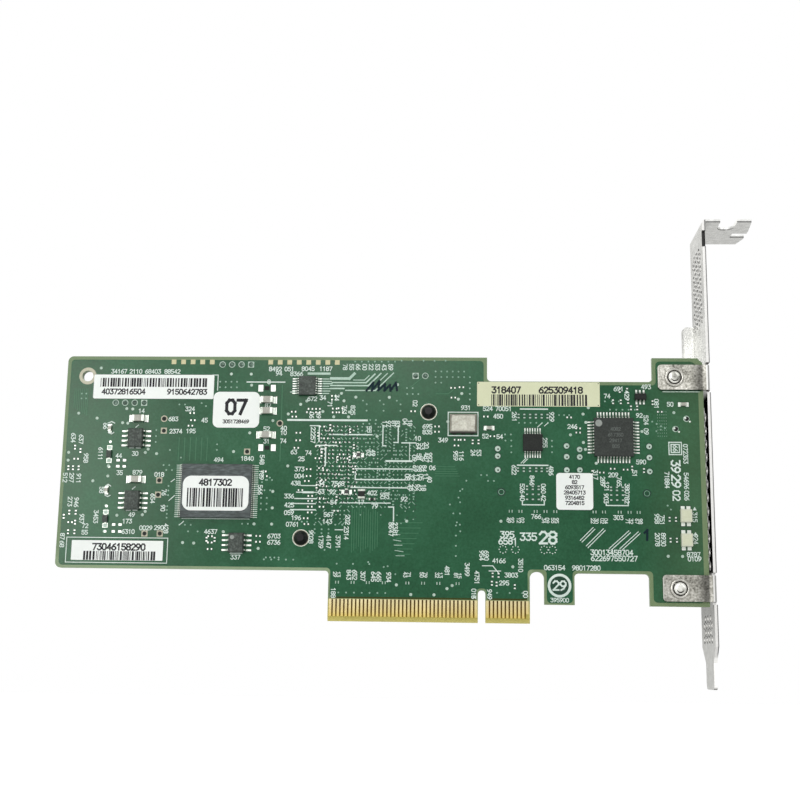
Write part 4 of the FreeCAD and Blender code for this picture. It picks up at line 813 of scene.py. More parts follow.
# Printed lines, as (points, width)
SILK_LINES = [
    ([(-50.8, 51.9), (-30.1, 51.9)], 0.5), ([(-39.7, 48.1), (-28.7, 48.1)], 0.32),
    ([(-44.9, 50.4), (-42.5, 50.4), (-42.5, 46.2)], 0.28), ([(-43.2, 45.2), (-37.8, 45.2)], 0.3),
    ([(-41.9, 44.2), (-40.7, 44.2), (-40.7, 40.0)], 0.34),
    ([(-25.8, 50.5), (-25.8, 45.2), (-25.0, 45.2)], 0.28),
    ([(-21.8, 50.4), (-21.8, 46.1), (-22.9, 46.1)], 0.28), ([(-20.8, 46.0), (-17.2, 46.0)], 0.3),
    ([(-24.8, 41.2), (-18.2, 41.2)], 0.45), ([(-18.8, 46.0), (-18.8, 41.2)], 0.16),
    ([(-32.8, 39.1), (-18.0, 39.1)], 0.3), ([(-32.8, 38.3), (-32.8, 36.3), (-20.0, 36.3)], 0.32),
    ([(-33.8, 34.2), (-19.2, 34.2)], 0.28), ([(-36.5, 30.2), (-23.6, 30.2)], 0.25),
    ([(-24.0, 29.2), (-22.7, 29.2), (-22.7, 25.6)], 0.3), ([(-46.9, 34.6), (-42.8, 34.6)], 0.24),
    ([(-48.0, 32.85), (-42.6, 32.85)], 0.24), ([(-46.2, 32.85), (-43.8, 32.85)], 0.5),
    ([(-48.4, 31.2), (-42.7, 31.2)], 0.28), ([(-49.3, 29.9), (-43.0, 29.9)], 0.28),
    ([(-49.4, 28.3), (-43.0, 28.3)], 0.32), ([(-37.7, 23.2), (-35.7, 23.2)], 0.24),
    ([(-92.4, 44.2), (-91.4, 44.2)], 0.24), ([(-90.7, 44.2), (-89.6, 44.2)], 0.24),
    ([(-91.1, 49.7), (-90.4, 50.3)], 0.24), ([(-92.4, 27.75), (-91.3, 27.75)], 0.24),
    ([(-90.6, 27.75), (-89.6, 27.75)], 0.24), ([(-91.1, 33.3), (-90.4, 33.9)], 0.24),
    ([(-64.7, 16.9), (-61.7, 16.9)], 0.24), ([(-77.7, 25.75), (-60.1, 25.75)], 0.16),
    ([(9.2, 40.35), (17.0, 40.35)], 0.32), ([(10.0, 55.15), (17.0, 55.15)], 0.34),
    ([(10.4, 31.0), (10.4, 30.1), (16.0, 30.1), (16.0, 31.0)], 0.28),
    ([(31.8, 31.0), (31.8, 30.1), (37.4, 30.1), (37.4, 31.0)], 0.28),
    ([(-69.8, 59.8), (-69.8, 63.9), (-71.2, 63.9)], 0.22), ([(-62.0, 62.05), (-52.0, 62.05)], 0.3),
    ([(14.4, 50.4), (15.5, 51.4)], 0.2), ([(16.2, 50.7), (17.1, 51.5)], 0.2),
    ([(10.1, 40.9), (11.4, 42.2)], 0.2), ([(10.7, 40.9), (11.8, 42.0)], 0.2),
    ([(-79.9, 31.7), (-81.3, 30.4)], 0.2), ([(-80.1, 36.0), (-81.0, 35.3)], 0.2),
    ([(-77.2, 25.0), (-78.2, 24.1)], 0.2), ([(0.2, 14.4), (2.8, 14.4), (4.2, 12.7)], 0.24),
    ([(1.9, 13.1), (4.8, 13.1)], 0.24),
    ([(-107.6, 20.6), (-81.1, 20.6), (-81.1, 14.15), (-107.6, 14.15), (-107.6, 20.6)], 0.2),
    ([(-8.8, 54.2), (-1.05, 54.2), (-1.05, 48.0), (-8.8, 48.0), (-8.8, 54.2)], 0.26),
    ([(-98.6, 50.8), (-97.6, 51.2), (-96.8, 50.8)], 0.26),
    ([(-98.3, 48.2), (-97.5, 47.9), (-96.9, 48.3)], 0.26),
    ([(-98.2, 34.1), (-97.6, 34.5), (-96.9, 34.1)], 0.26),
    ([(-98.2, 31.6), (-97.5, 31.3), (-96.9, 31.6)], 0.26),
]
DOUBLE_DIAGONALS = [
    ((25.3, 20.9), (28.6, 24.2)), ((26.8, 19.5), (31.2, 23.9)), ((32.6, 18.9), (37.6, 23.4)),
    ((35.3, 18.9), (40.0, 23.2)),
]
DOUBLE_REACH = 0.22
DOUBLE_WIDTH = 0.2

# Small marks: nested frames, arrow heads, and circles of dots
NESTED_FRAMES = ((49.7, 45.0), (1.05, 1.6), 0.26)
ARROW_HEADS = [(54.2, 29.5), (54.2, 23.1)]
ARROW_HALF_WIDTH = 0.5
ARROW_HALF_HEIGHT = 0.45
DOTTED_CIRCLES = [(5.4, 18.6), (8.6, 18.6), (15.9, 18.6), (18.0, 18.6)]
DOTTED_DIAMETER = 1.9
DOTTED_COUNT = 8
DOT = (0.3, 8)

# Small round vias, as (x, z, step along X, step along Z, count)
VIA_ROWS = [
    (-69.2, 62.1, 1.5, 0, 4), (-69.2, 60.6, 1.5, 0, 4), (-12.2, 65.1, 1.5, 0, 6), (-12.2, 63.6, 1.5, 0, 7),
    (-12.2, 62.1, 1.5, 0, 2), (-3.2, 62.1, 0, -1.5, 4), (-33.5, 67.7, 1.76, 0, 7),
    (-21.2, 68.0, 2.9, 0, 5), (-31.2, 57.2, 4.45, 0, 3), (-30.2, 56.2, 4.45, 0, 3),
    (-30.2, 54.5, 4.45, 0, 3), (-19.7, 60.6, 1.5, 0, 2), (-19.6, 59.0, 1.45, 0, 3),
    (-29.2, 52.0, 1.5, 0, 2), (-0.2, 37.7, 1.5, 0, 2), (1.6, 36.2, 1.5, 0, 2), (9.6, 51.5, 1.5, 0, 6),
    (-5.6, 33.5, 0, -2.9, 4), (-8.2, 30.0, 0.9, -2.3, 4), (-4.0, 36.2, -1.0, -2.2, 3),
    (-6.6, 24.6, 0, -2.6, 4), (6.0, 48.4, 1.5, 0, 2), (6.1, 46.8, 1.5, 0, 2), (7.6, 45.3, 0, -1.6, 2),
    (18.1, 46.8, 0, -1.5, 3), (20.0, 53.6, 1.3, 0, 3), (33.2, 55.1, 1.6, 0, 5), (31.9, 57.3, 1.8, 0, 3),
    (-57.2, 28.3, 1.5, 0, 2), (-57.2, 29.8, 1.5, 0, 2), (-57.2, 31.3, 1.5, 0, 2), (-56.4, 33.3, 1.5, 0, 2),
    (-57.1, 35.4, 1.0, 0.6, 3), (-55.8, 36.0, 1.3, 0, 2), (-61.9, 24.5, 1.5, 0, 3),
    (-78.3, 24.1, 1.5, 0, 3), (-75.9, 22.4, 2.5, 0, 2), (-83.2, 39.7, 1.5, 0, 2), (-82.4, 38.4, 1.5, 0, 2),
    (-81.6, 34.2, 0, -1.2, 3), (-81.7, 28.9, 0, -1.0, 4), (-31.0, 51.0, 1.6, 0, 4),
    (-46.4, 25.2, 1.4, 0, 2), (-43.1, 24.5, 1.8, 0, 5), (-43.0, 23.3, 1.8, 0, 3), (-43.0, 22.3, 1.8, 0, 3),
    (-40.3, 18.0, 3.2, 0, 2), (-37.1, 14.5, 4.2, 0, 3), (-55.4, 15.9, 1.1, 0, 4), (-55.9, 15.4, 1.9, 0, 5),
    (-36.5, 7.2, 2.0, 0, 7), (-24.0, 14.0, 2.0, -2.0, 2), (3.9, 7.6, 3.2, 0, 3),
    (-29.0, 15.0, 4.0, -1.2, 2), (-85.6, 49.0, 0, -1.6, 3), (-81.7, 43.7, 3.0, -2.0, 2),
    (-69.3, 45.3, 0, -1.5, 2), (-79.8, 55.9, 1.5, 0, 2), (-73.9, 56.3, 1.2, -0.8, 2),
    (-104.9, 58.7, -1.2, 0, 2), (-104.9, 57.4, -1.2, 0, 2), (44.0, 52.0, 1.1, -0.6, 3),
    (45.0, 49.5, 1.1, 0.4, 3), (47.4, 30.2, 0.8, -1.0, 2),
]
VIA_PLACES = [place for row in VIA_ROWS for place in row_places(*row)]
FINE_VIAS = [place for i in range(9) for place in row_places(45.4, 48.2 + 0.8 * i, 0.55, 0, 5)]
BRIGHT_VIAS = [
    (-101.3, 65.7), (-106.6, 53.4), (-101.6, 52.1), (-94.7, 50.9), (-93.3, 50.8), (-93.8, 54.7),
    (-92.2, 54.6), (-87.5, 43.9), (-88.2, 43.0), (-85.2, 42.7), (-108.6, 42.9), (-108.6, 40.8),
    (-66.3, 64.2), (-61.0, 64.2), (-60.8, 61.2), (-60.8, 48.4), (-64.9, 43.4), (-54.8, 51.7),
    (-97.8, 36.7), (-97.8, 39.4), (-101.7, 35.4), (-97.8, 28.9), (-94.8, 26.4), (-87.4, 27.5),
    (-88.1, 26.6), (-97.9, 22.2), (-74.3, 19.4), (-77.2, 19.5), (-66.7, 22.4), (-58.8, 24.5),
    (-57.5, 18.2), (-54.2, 33.0), (-54.2, 28.7), (-54.2, 24.5), (-50.5, 39.7), (-19.3, 25.6), (4.9, 25.8),
    (7.9, 14.2), (47.2, 17.3), (50.8, 17.3), (-21.7, 9.3), (-18.0, 6.9), (-12.1, 6.9), (-27.3, 47.7),
    (22.9, 48.4), (26.2, 53.9), (26.9, 51.7), (26.2, 46.4), (-7.5, 9.3), (-6.2, 57.7), (-5.3, 59.2),
    (26.7, 44.6), (41.3, 49.4), (-8.9, 51.7), (-8.8, 8.5), (-1.9, 6.6), (-50.8, 53.5), (-47.6, 56.1),
    (-36.9, 59.1), (-36.2, 57.1), (-38.8, 52.8), (-34.9, 52.8), (-33.1, 58.1), (-24.3, 58.1),
    (-22.2, 61.5), (-41.7, 54.2), (-34.7, 54.1), (49.6, 54.4), (27.6, 55.6), (29.4, 41.0), (-46.0, 57.0),
]
LARGE_VIAS = [(4.08, 44.64), (4.08, 42.7), (4.08, 39.12), (21.85, 45.47), (21.85, 42.64), (21.85, 39.2),
              (25.2, 44.58), (25.2, 42.61), (25.2, 39.22), (43.05, 45.48), (43.05, 42.59), (43.05, 38.97)]
SOLDER_BLOBS = [(52.85, 52.8), (50.0, 50.1)]
TARGET_RINGS = [(5.0, 33.35), (42.23, 33.28)]
ROUND_TEST_PADS = [(-83.65, 52.05), (-52.94, 50.98)]
SQUARE_TEST_PADS = [(-83.59, 48.84), (-61.32, 43.42), (-84.13, 35.67), (-84.25, 31.89), (-87.28, 21.74),
                    (-83.28, 21.78)]
EDGE_PADS = row_places(-81.8, 67.45, 2.56, 0, 5) + row_places(-55.92, 67.45, 2.53, 0, 8)

# Round and square copper about its places
COPPER_SHAPES = [
    (VIA_PLACES, [("via", "disc", 0, 0, 0.44)]),
    (BRIGHT_VIAS, [("pale", "disc", 0, 0, 0.78)]),
    (LARGE_VIAS, [("gap", "disc", 0, 0, 1.9, 24), ("pale", "disc", 0, 0, 1.42, 24),
                  ("hole", "disc", 0.1, -0.1, 0.46)]),
    (SOLDER_BLOBS, [("pale", "disc", -0.1, 0, 1.6, 24), ("hole", "disc", 0, 0, 1.2, 24)]),
    (FINE_VIAS, [("via", "disc", 0, 0, 0.2, 8)]),
    (TARGET_RINGS, [("gap", "ring", 0, 0, 2.3, 1.5), ("via", "ring", 0, 0, 1.5, 1.25),
                    ("gap", "disc", 0, 0, 0.7)]),
    (ROUND_TEST_PADS, [("ring", "ring", 0, 0, 1.75, 1.15), ("hole", "disc", 0, 0, 1.2, 24)]),
    (SQUARE_TEST_PADS, [("ring", "square_ring", 0, 0, 1.6, 1.05), ("hole", "disc", 0, 0, 1.1, 24)]),
    (EDGE_PADS, [("edge", "rectangle", 0, 0, 1.25, 1.25)]),
    ([CORNER_HOLE], [("ring", "ring", 0, 0, 4.6, 2.95, 40)]),
    (PUSH_PINS, [("ring", "ring", 0, 0, 4.25, 3.3, 36), ("tin", "ring", 0, 0, 4.4, 4.2, 36),
                 ("hole", "ring", 0, 0, 3.68, 3.2, 36)]),
]

# Rows of pads on both sides of a chip or light, as (layer, middle along X and Z, reach along X and Z,
# count, pitch, length, width); chips and lights of one kind share all but their middle
EIGHT_LEADS = (3.4, 0, 4, 1.27, 0.9, 0.44)
LIGHT_ENDS = (0, 2.05, 2, 1.45, 1.0, 1.0)
CHIP_PADS = [
    ("tin", -90.8, 46.75, *EIGHT_LEADS), ("tin", -90.8, 30.3, *EIGHT_LEADS),
    ("tin", -63.15, 19.6, *EIGHT_LEADS), ("pale", -68.9, 32.95, 10.25, 0, 28, 0.5, 1.1, 0.2),
    ("tin", -45.95, 61.0, 3.3, 0, 7, 0.65, 1.3, 0.26), ("tin", 13.1, 46.2, 0, 3.25, 7, 0.65, 1.3, 0.26),
    ("tin", 33.95, 47.75, 6.05, 0, 11, 0.8, 1.2, 0.34), ("tin", 33.95, 47.75, 0, 6.05, 11, 0.8, 1.2, 0.34),
    ("tin", 41.0, 58.45, 0, 1.5, 3, 0.95, 0.8, 0.46), ("tin", 51.9, 27.55, *LIGHT_ENDS),
    ("tin", 51.9, 21.4, *LIGHT_ENDS),
]
LARGE_CAPACITORS = [(-90.4, 52.05), (-90.3, 35.85), (-56.45, 57.2), (-56.45, 54.25), (-56.5, 47.85)]
UPRIGHT_CAPACITORS = [(-97.95, 49.4), (-97.9, 33.0)]
LEVEL_CAPACITORS = [(-32.05, 42.7), (-34.95, 33.0), (52.1, 56.55), (1.85, 50.05)]
DIODES = [(-97.75, 42.5), (-97.75, 25.5)]

# Bare two-terminal places, as (x, z, upright)
EMPTY_PAIRS = [
    (-107.0, 44.3, True), (-105.5, 43.4, True), (-106.5, 41.2, False), (-108.4, 38.8, True),
    (-107.2, 38.8, True), (-105.7, 38.8, True), (-107.4, 27.1, True), (-105.7, 27.1, True),
    (-107.0, 24.5, False), (-105.7, 24.5, True), (-107.4, 22.0, True), (-105.7, 22.0, True),
    (-108.8, 26.0, True), (-76.3, 53.6, False), (-76.0, 51.7, False), (-76.6, 50.2, False),
    (-56.7, 38.2, False), (-56.4, 37.0, False), (-48.0, 48.5, False), (-48.0, 46.5, False),
    (-48.4, 44.5, False), (-45.0, 38.9, False), (-45.0, 37.1, False), (-45.4, 35.8, False),
    (-45.4, 26.1, False), (-45.2, 24.6, False), (-44.4, 31.9, False), (-44.4, 30.6, False),
    (-44.4, 29.1, False), (-44.4, 27.6, False), (-47.0, 33.4, False), (-41.8, 39.2, False),
    (-41.0, 36.1, False), (-41.4, 31.2, False), (-41.4, 29.1, False), (-37.6, 28.1, False),
    (-70.1, 21.2, False), (-70.1, 19.6, False), (-70.1, 17.9, False), (-71.0, 20.4, True),
    (-68.9, 20.4, True), (-57.6, 21.4, False), (-57.6, 19.9, False), (-11.7, 50.4, False),
    (-11.7, 49.0, False), (-6.6, 46.9, False), (-5.0, 46.9, False), (-2.4, 46.4, True), (-0.9, 46.4, True),
    (-6.6, 45.4, False), (1.0, 53.1, False), (2.7, 47.9, False), (35.8, 60.2, True), (37.7, 60.3, True),
    (34.0, 57.2, True), (36.0, 57.2, True), (37.9, 57.3, True), (44.2, 57.0, True), (24.9, 50.1, False),
    (24.9, 49.0, False), (47.8, 26.7, True), (49.4, 26.7, True), (47.9, 21.4, True), (49.5, 21.4, True),
    (28.4, 38.6, True), (30.8, 38.6, False), (-7.6, 60.7, False), (-5.4, 60.9, False), (-7.5, 58.1, False),
    (-18.0, 54.4, False), (-45.0, 54.9, False), (-43.0, 54.9, False), (-45.4, 54.0, False),
    (-43.0, 54.0, False), (-38.9, 58.4, False), (-38.9, 57.4, False), (-38.6, 55.0, False),
    (-37.1, 55.1, False), (-38.6, 54.0, False), (-36.9, 54.0, False), (-49.4, 54.1, False),
    (-49.2, 52.8, False), (40.2, 55.6, True), (38.6, 55.6, True), (36.9, 39.4, False), (38.6, 39.8, True),
    (33.6, 39.6, False), (41.6, 39.2, True), (46.0, 54.6, False), (22.6, 53.0, False), (2.8, 12.1, True),
    (4.3, 12.0, True), (2.6, 10.0, True), (3.8, 9.8, True), (8.4, 9.2, True),
]
BLANK_CAPACITORS = [(-56.65, 60.4), (-56.1, 44.5)]
SQUARE_PADS = crossings(([-95.5, -93.8], [24.0, 22.2]), ([-95.3, -93.6], [40.9, 39.3]))
NARROW_PAIRS = crossings(([7.4, 9.9, 13.8, 16.3, 18.8, 28.8, 31.2, 35.2, 37.7, 40.0], [28.4]),
                         ([-36.9, -32.9, -29.0, -24.9, -18.9, -14.9, -11.0, -6.1], [9.8]))
NETWORK_PADS = crossings(([11.6, 13.1, 14.6], [34.9, 34.1, 32.8, 31.5]),
                         ([33.1, 34.6, 36.1], [34.8, 34.0, 32.8, 31.5]),
                         ([9.5, 11.0, 12.5, 14.0, 15.5, 17.0], [53.7, 52.85]),
                         ([9.3, 10.8, 12.4, 14.0, 15.4, 16.8], [39.6, 38.8]))

# The plated edge that shows below the upper ear with its painted shadow line, and painted shadow marks
# under the oscillator
EAR_EDGE = (51.6, 60.35)
OSCILLATOR_SHADOW_MARKS = [(-7.2, 48.42), (-4.9, 48.42), (-2.6, 48.42)]

# Pads of places left empty, and the last small shapes
SMALL_SHAPES = [
    (BLANK_CAPACITORS, [("hole", "rectangle", 0, 0, 1.3, 1.1), ("tin", "rectangle", -1.65, 0, 1.25, 1.75),
                        ("tin", "rectangle", 1.65, 0, 1.25, 1.75)]),
    (SQUARE_PADS, [("tin", "rectangle", 0, 0, 0.85, 0.62)]),
    (EMPTY_PAIRS, [("tin", "pair", 0, 0)]),
    (NARROW_PAIRS, [("pale", "rectangle", -0.36, 0, 0.22, 0.7), ("pale", "rectangle", 0.36, 0, 0.22, 0.7)]),
    (NETWORK_PADS, [("gap", "rectangle", 0, 0, 0.9, 0.62), ("pale", "rectangle", 0, 0, 0.52, 0.34)]),
    ([EAR_EDGE], [("gap", "rectangle", 0, -0.12, 10.6, 0.24), ("pale", "rectangle", 0, -0.42, 9.6, 0.26)]),
    (OSCILLATOR_SHADOW_MARKS, [("hole", "rectangle", 0, 0, 0.95, 0.3)]),
]

# Paler copper lines beside the upper chip, and plain ones, as (points, width)
BRIGHT_TRACES = [
    ([(-45.7, 64.4), (-40.2, 64.4)], 0.6), ([(-39.7, 63.1), (-34.9, 63.1), (-33.6, 64.4)], 0.7),
    ([(-41.6, 61.7), (-39.5, 61.7)], 0.35), ([(-39.4, 62.0), (-30.5, 62.0), (-28.2, 64.3)], 0.36),
    ([(-39.8, 61.2), (-29.9, 61.2), (-26.6, 64.5)], 0.36), ([(-39.7, 60.4), (-36.3, 60.4)], 0.36),
    ([(-35.8, 59.9), (-28.0, 59.9), (-23.3, 64.6)], 0.3), ([(-27.4, 62.0), (-24.9, 64.5)], 0.24),
    ([(-33.8, 62.7), (-30.9, 62.7), (-29.7, 63.9)], 0.24), ([(-50.4, 59.4), (-49.3, 59.4)], 0.24),
]
PLAIN_TRACES = [
    ([(-52.6, 61.2), (-52.6, 41.0)], 0.25), ([(-18.6, 61.0), (-15.9, 63.2)], 0.2),
    ([(-12.0, 59.1), (-8.8, 59.1), (-7.2, 60.5)], 0.2),
]

# Rows of straight lines, as (layer, count, width, start, end); start and end are each a place, the step
# from line to line, a shift that grows from line to line, and after how many lines it begins again
TRACE_ROWS = [
    ("bright", 7, 0.26, ((-42.0, 59.05), (0, 0.65), (0, 0), 1), ((-40.3, 59.05), (0, 0.65), (0.3, 0), 3)),
    ("trace", 12, 0.2, ((-33.4, 29.0), (0.6, 0), (0, -0.6), 3), ((-33.4, 17.5), (0.6, 0), (0, 0.5), 4)),
    ("trace", 7, 0.22, ((-22.5, 25.2), (0.2, -1.35), (0, 0), 1), ((-15.3, 25.2), (-0.5, -1.35), (0, 0), 1)),
    ("bright", 7, 0.16, ((-23.4, 24.8), (0.25, -1.35), (0, 0), 1),
     ((-21.6, 24.8), (0.3, -1.35), (0, -0.3), 2)),
    ("trace", 5, 0.2, ((-12.0, 39.8), (0, -0.6), (0, 0), 1), ((-7.0, 39.8), (0.3, -0.6), (0, 0), 1)),
    ("trace", 6, 0.2, ((-79.4, 47.0), (1.5, 0), (0, 0), 1), ((-79.4, 41.0), (1.5, 0), (0, 0), 1)),
    ("trace", 8, 0.16, ((-108.0, 60.0), (0.5, 0), (0, 0), 1), ((-108.0, 55.0), (0.5, -0.3), (0, 0), 1)),
]

# Strokes of a marker pen
MARKER_STROKES = [
    [(-30.3, 59.9), (-28.6, 62.0), (-28.9, 59.9), (-27.0, 62.4), (-27.2, 60.0), (-25.5, 61.6),
     (-25.6, 59.9), (-24.2, 61.4), (-24.0, 59.9), (-22.6, 62.0), (-22.3, 60.0)],
    [(41.4, 23.2), (42.1, 23.9), (42.0, 21.4)],
]
MARKER_WIDTH = 0.56

# Ball-grid fan-out behind the controller: its size, its bare and crowded corners as (x, z), and the picks
# below which a place gets a via, a pale via, a tick or a pair of pads
GRID_SEED = 21
GRID_MIDDLE = (-30.2, 37.6)
GRID_HALF = 12.6
GRID_PITCH = 1.05
BARE_CORNER = (-34.0, 29.0)
BARE_PICK = 0.12
CROWDED_CORNER = (-33.0, 30.0)
VIA_PICK = 0.3
PALE_PICK = 0.44
TICK_PICK = 0.76
PAIR_PICK = 0.9
TICK_REACH = 0.16
TICK_WIDTH = 0.17

# Shapes about a place of the grid, and half-way to the next
HALF_PITCH = GRID_PITCH / 2
GRID_VIA = [("via", "disc", 0, 0, 0.34)]
GRID_PALE_VIA = [("pale", "disc", 0, 0, 0.32)]
GRID_BAR = [("pale", "rectangle", 0.2, -0.1, 0.7, 0.24)]
GRID_GAP = [("gap", "disc", HALF_PITCH, HALF_PITCH, 0.4)]
GRID_BYPASS = [("hole", "rectangle", HALF_PITCH, 0.1, 0.36, 0.3),
               ("tin", "rectangle", HALF_PITCH + 0.3, 0.1, 0.2, 0.3)]

# Layers of the solder side, as (piece, height above the laminate, finish)
SOLDER_LAYERS = {
    "tin": ("solder_pads", PAD_HEIGHT, "tinned_pad"),
    "pale": ("solder_pale_pads", PAD_HEIGHT, "pale_pad"),
    "via": ("solder_vias", PAD_HEIGHT, "plugged_via"),
    "ring": ("solder_hole_rings", PAD_HEIGHT, "hole_ring"),
    "edge": ("solder_edge_pads", PAD_HEIGHT, "edge_pad"),
    "hole": ("solder_holes", SILK_HEIGHT, "via_hole"),
    "silk": ("solder_legend", SILK_HEIGHT, "legend_ink"),
    "trace": ("solder_traces", TRACE_HEIGHT, "masked_copper"),
    "bright": ("solder_bright_traces", PAD_HEIGHT, "bright_copper"),
    "gap": ("solder_mask_gaps", TRACE_HEIGHT, "masked_gap"),
    "marker": ("marker_strokes", MARKER_HEIGHT, "marker_ink"),
}


def solder_side():
    """Everything printed or plated on the side that the photograph shows."""
    layers = make_layers(SOLDER, SOLDER_LAYERS)
    make_mask("solder_mask_coat", SOLDER)
    draw_contact_gaps("contact_gaps", SOLDER)
    draw_about(layers, COPPER_SHAPES)
    for place in HEADER_PINS:
        if place in SQUARE_PINS:
            layers["pale"].square_ring(*place, HEADER_SQUARE, HEADER_HOLE)
        else:
            layers["pale"].ring(*place, HEADER_ROUND, HEADER_HOLE)
    for side in (-1, 1):
        for layer, x, z, reach_x, reach_z, *sizes in CHIP_PADS:
            layers[layer].pad_row(x + side * reach_x, z + side * reach_z, *sizes, along_x=reach_z > 0)
        draw_about(layers, end_shapes(side))
    draw_about(layers, SMALL_SHAPES)
    draw_ball_grid(layers)
    layers["gap"].disc(*RING_MARK, RING_MARK_FIELD, RING_MARK_SIDES)
    draw_traces(layers)
    draw_legend(layers["silk"])
    for stroke in MARKER_STROKES:
        layers["marker"].line(stroke, MARKER_WIDTH)
    for artwork in layers.values():
        artwork.build()


def end_shapes(side):
    """Pads at one end of each fitted two-terminal part."""
    return [
        (LARGE_CAPACITORS, [("tin", "rectangle", side * 1.75, 0, 0.8, 1.75),
                            ("tin", "rectangle", side * 2.4, 0, 0.3, 1.9)]),
        (UPRIGHT_CAPACITORS, [("tin", "rectangle", 0, side * 0.85, 0.95, 0.6)]),
        (LEVEL_CAPACITORS, [("tin", "rectangle", side * 1.0, 0, 0.75, 1.15)]),
        (DIODES, [("pale", "rectangle", 0, side * 1.7, 1.0, 0.8),
                  ("tin", "frame", 0, side * 1.75, 0.6, 0.5, 0.16), ("tin", "disc", 0.1, side * 3.3, 0.7)]),
    ]


def draw_ball_grid(layers):
    """Fan-out vias, ticks and bypass places behind the controller's balls."""
    chance = random.Random(GRID_SEED)
    steps = int(2 * GRID_HALF / GRID_PITCH)
    for row in range(steps + 1):
        for column in range(steps + 1):
            x = GRID_MIDDLE[0] - GRID_HALF + column * GRID_PITCH
            z = GRID_MIDDLE[1] - GRID_HALF + row * GRID_PITCH
            pick = chance.random()
            lean = chance.choice((-1, 1))
            reach = TICK_REACH + TICK_REACH * chance.random()
            if x > BARE_CORNER[0] and z < BARE_CORNER[1] and pick > BARE_PICK:
                continue
            place = [(x, z)]
            upper = z > CROWDED_CORNER[1]
            crowded = upper and x < CROWDED_CORNER[0]
            if pick < VIA_PICK:
                draw_about(layers, [(place, GRID_VIA)])
            elif pick < PALE_PICK:
                draw_about(layers, [(place, GRID_PALE_VIA)])
            elif pick < TICK_PICK:
                tick = [(x - reach, z - lean * reach), (x + reach, z + lean * reach)]
                layers["via"].line(tick, TICK_WIDTH)
            elif pick < PAIR_PICK and upper:
                layers["tin" if crowded else "via"].pair(x, z, lean > 0)
            elif crowded:
                draw_about(layers, [(place, GRID_BAR)])
            draw_about(layers, [(place, GRID_GAP)])
            if crowded and lean > 0:
                draw_about(layers, [(place, GRID_BYPASS)])


def draw_traces(layers):
    """Copper lines that show through the mask, and the paler ones beside the upper chip."""
    for points, width in BRIGHT_TRACES:
        layers["bright"].line(points, width)
    for layer, count, width, *ends in TRACE_ROWS:
        for i in range(count):
            points = []
            for (x, z), (step_x, step_z), (shift_x, shift_z), cycle in ends:
                turn = i % cycle
                points.append((x + step_x * i + shift_x * turn, z + step_z * i + shift_z * turn))
            layers[layer].line(points, width)
    for points, width in PLAIN_TRACES:
        layers["trace"].line(points, width)


def draw_legend(silk):
    """Plain numbers and lines in the legend ink."""
    digits = random.Random(LEGEND_SEED)

    def made_up(count):
        return "".join(str(digits.randint(0, 9)) for _ in range(count))

    for x, z, count in NUMBERS_ALONG:
        silk.number(x, z, made_up(count), SMALL_NUMBER)
    for x, z, count in NUMBERS_DOWN:
        silk.number(x, z, made_up(count), SMALL_NUMBER, upright=True)
    for x, z in PAIRED_NUMBERS:
        for side in (-PAIRED_REACH, PAIRED_REACH):
            silk.number(x + side, z, made_up(2), PAIRED_NUMBER, upright=True)
    for x, z in TOP_NUMBERS:
        silk.number(x, z, made_up(2), SMALL_NUMBER, upright=True)
    for x, z, count, height in LARGE_NUMBERS:
        silk.number(x, z, made_up(count), height)
    for x, z, count, height in LARGE_NUMBERS_DOWN:
        silk.number(x, z, made_up(count), height, upright=True)
    middle, halves, width = NESTED_FRAMES
    for half in halves:
        silk.frame(*middle, half, half, width)
    for points, width in SILK_LINES:
        silk.line(points, width)
    for (x0, z0), (x1, z1) in DOUBLE_DIAGONALS:
        for shift in (-DOUBLE_REACH, DOUBLE_REACH):
            silk.line([(x0 + shift, z0 - shift), (x1 + shift, z1 - shift)], DOUBLE_WIDTH)
    for x, z in ARROW_HEADS:
        foot = z - ARROW_HALF_HEIGHT
        tip = z + ARROW_HALF_HEIGHT
        silk.polygon([(x - ARROW_HALF_WIDTH, foot), (x + ARROW_HALF_WIDTH, foot), (x, tip)])
    silk.ring(*RING_MARK, *RING_MARK_EDGES, RING_MARK_SIDES)
    for x, z in DOTTED_CIRCLES:
        for place in circle(x, z, DOTTED_DIAMETER, DOTTED_COUNT):
            silk.disc(*place, *DOT)


# Raised round details

LEAST_RADIUS = 0.001


class Turned(Piece):
    """Shapes turned about the Y direction on the solder side."""

    smooth = True

    def add(self, x, z, level, profile, count):
        """A profile of radius and height above a level, turned about the line through x and z."""
        start = len(self.points)
        for radius, height in profile:
            for u, v in circle(x, z, 2 * max(radius, LEAST_RADIUS), count):
                self.points.append((u, self.side * (level + height), v))
        self.join_rings(start, count, anticlockwise=True)


def dome(radius, rise, steps=6):
    """The profile of a low dome, from its rim to its middle."""
    angles = [math.pi / 2 * k / steps for k in range(steps + 1)]
    return [(radius * math.cos(angle), rise * math.sin(angle)) for angle in angles]


# The solder dome in a header hole, as (radius, rise), and those of a blob, as (shift along X and Z, radius,
# rise, sides)
FILL_DOME = (0.68, 0.16)
FILL_SIDES = 18
BLOB_DOMES = [(-0.34, 0.16, 0.28, 0.2, 18), (0.8, -0.75, 0.26, 0.14, 12)]

# Profiles of a screw's end, as (radius, height above the boss)
BOSS_LEVEL = 2.135
COLLAR = [(2.5, -0.2), (2.46, 0.05), (2.3, 0.17), (2.1, 0.2), (1.92, 0.14), (1.85, 0.01)]
# The groove between collar and tip is painted dark, as painted shade in the recess
GROOVE = [(1.86, 0.012), (1.5, 0.012)]
THREAD_END = [(1.55, 0.01), (1.55, 0.16), (1.42, 0.24), (1.3, 0.2), (1.18, 0.26), (0.7, 0.3), (0.0, 0.24)]
SCREW_SIDES = 36
# The floor of each screw's slot on the component side, painted dark as shade: its level, and its length and
# width
SCREW_SLOT_LEVEL = 1.01
SCREW_SLOT = (5.3, 0.78)
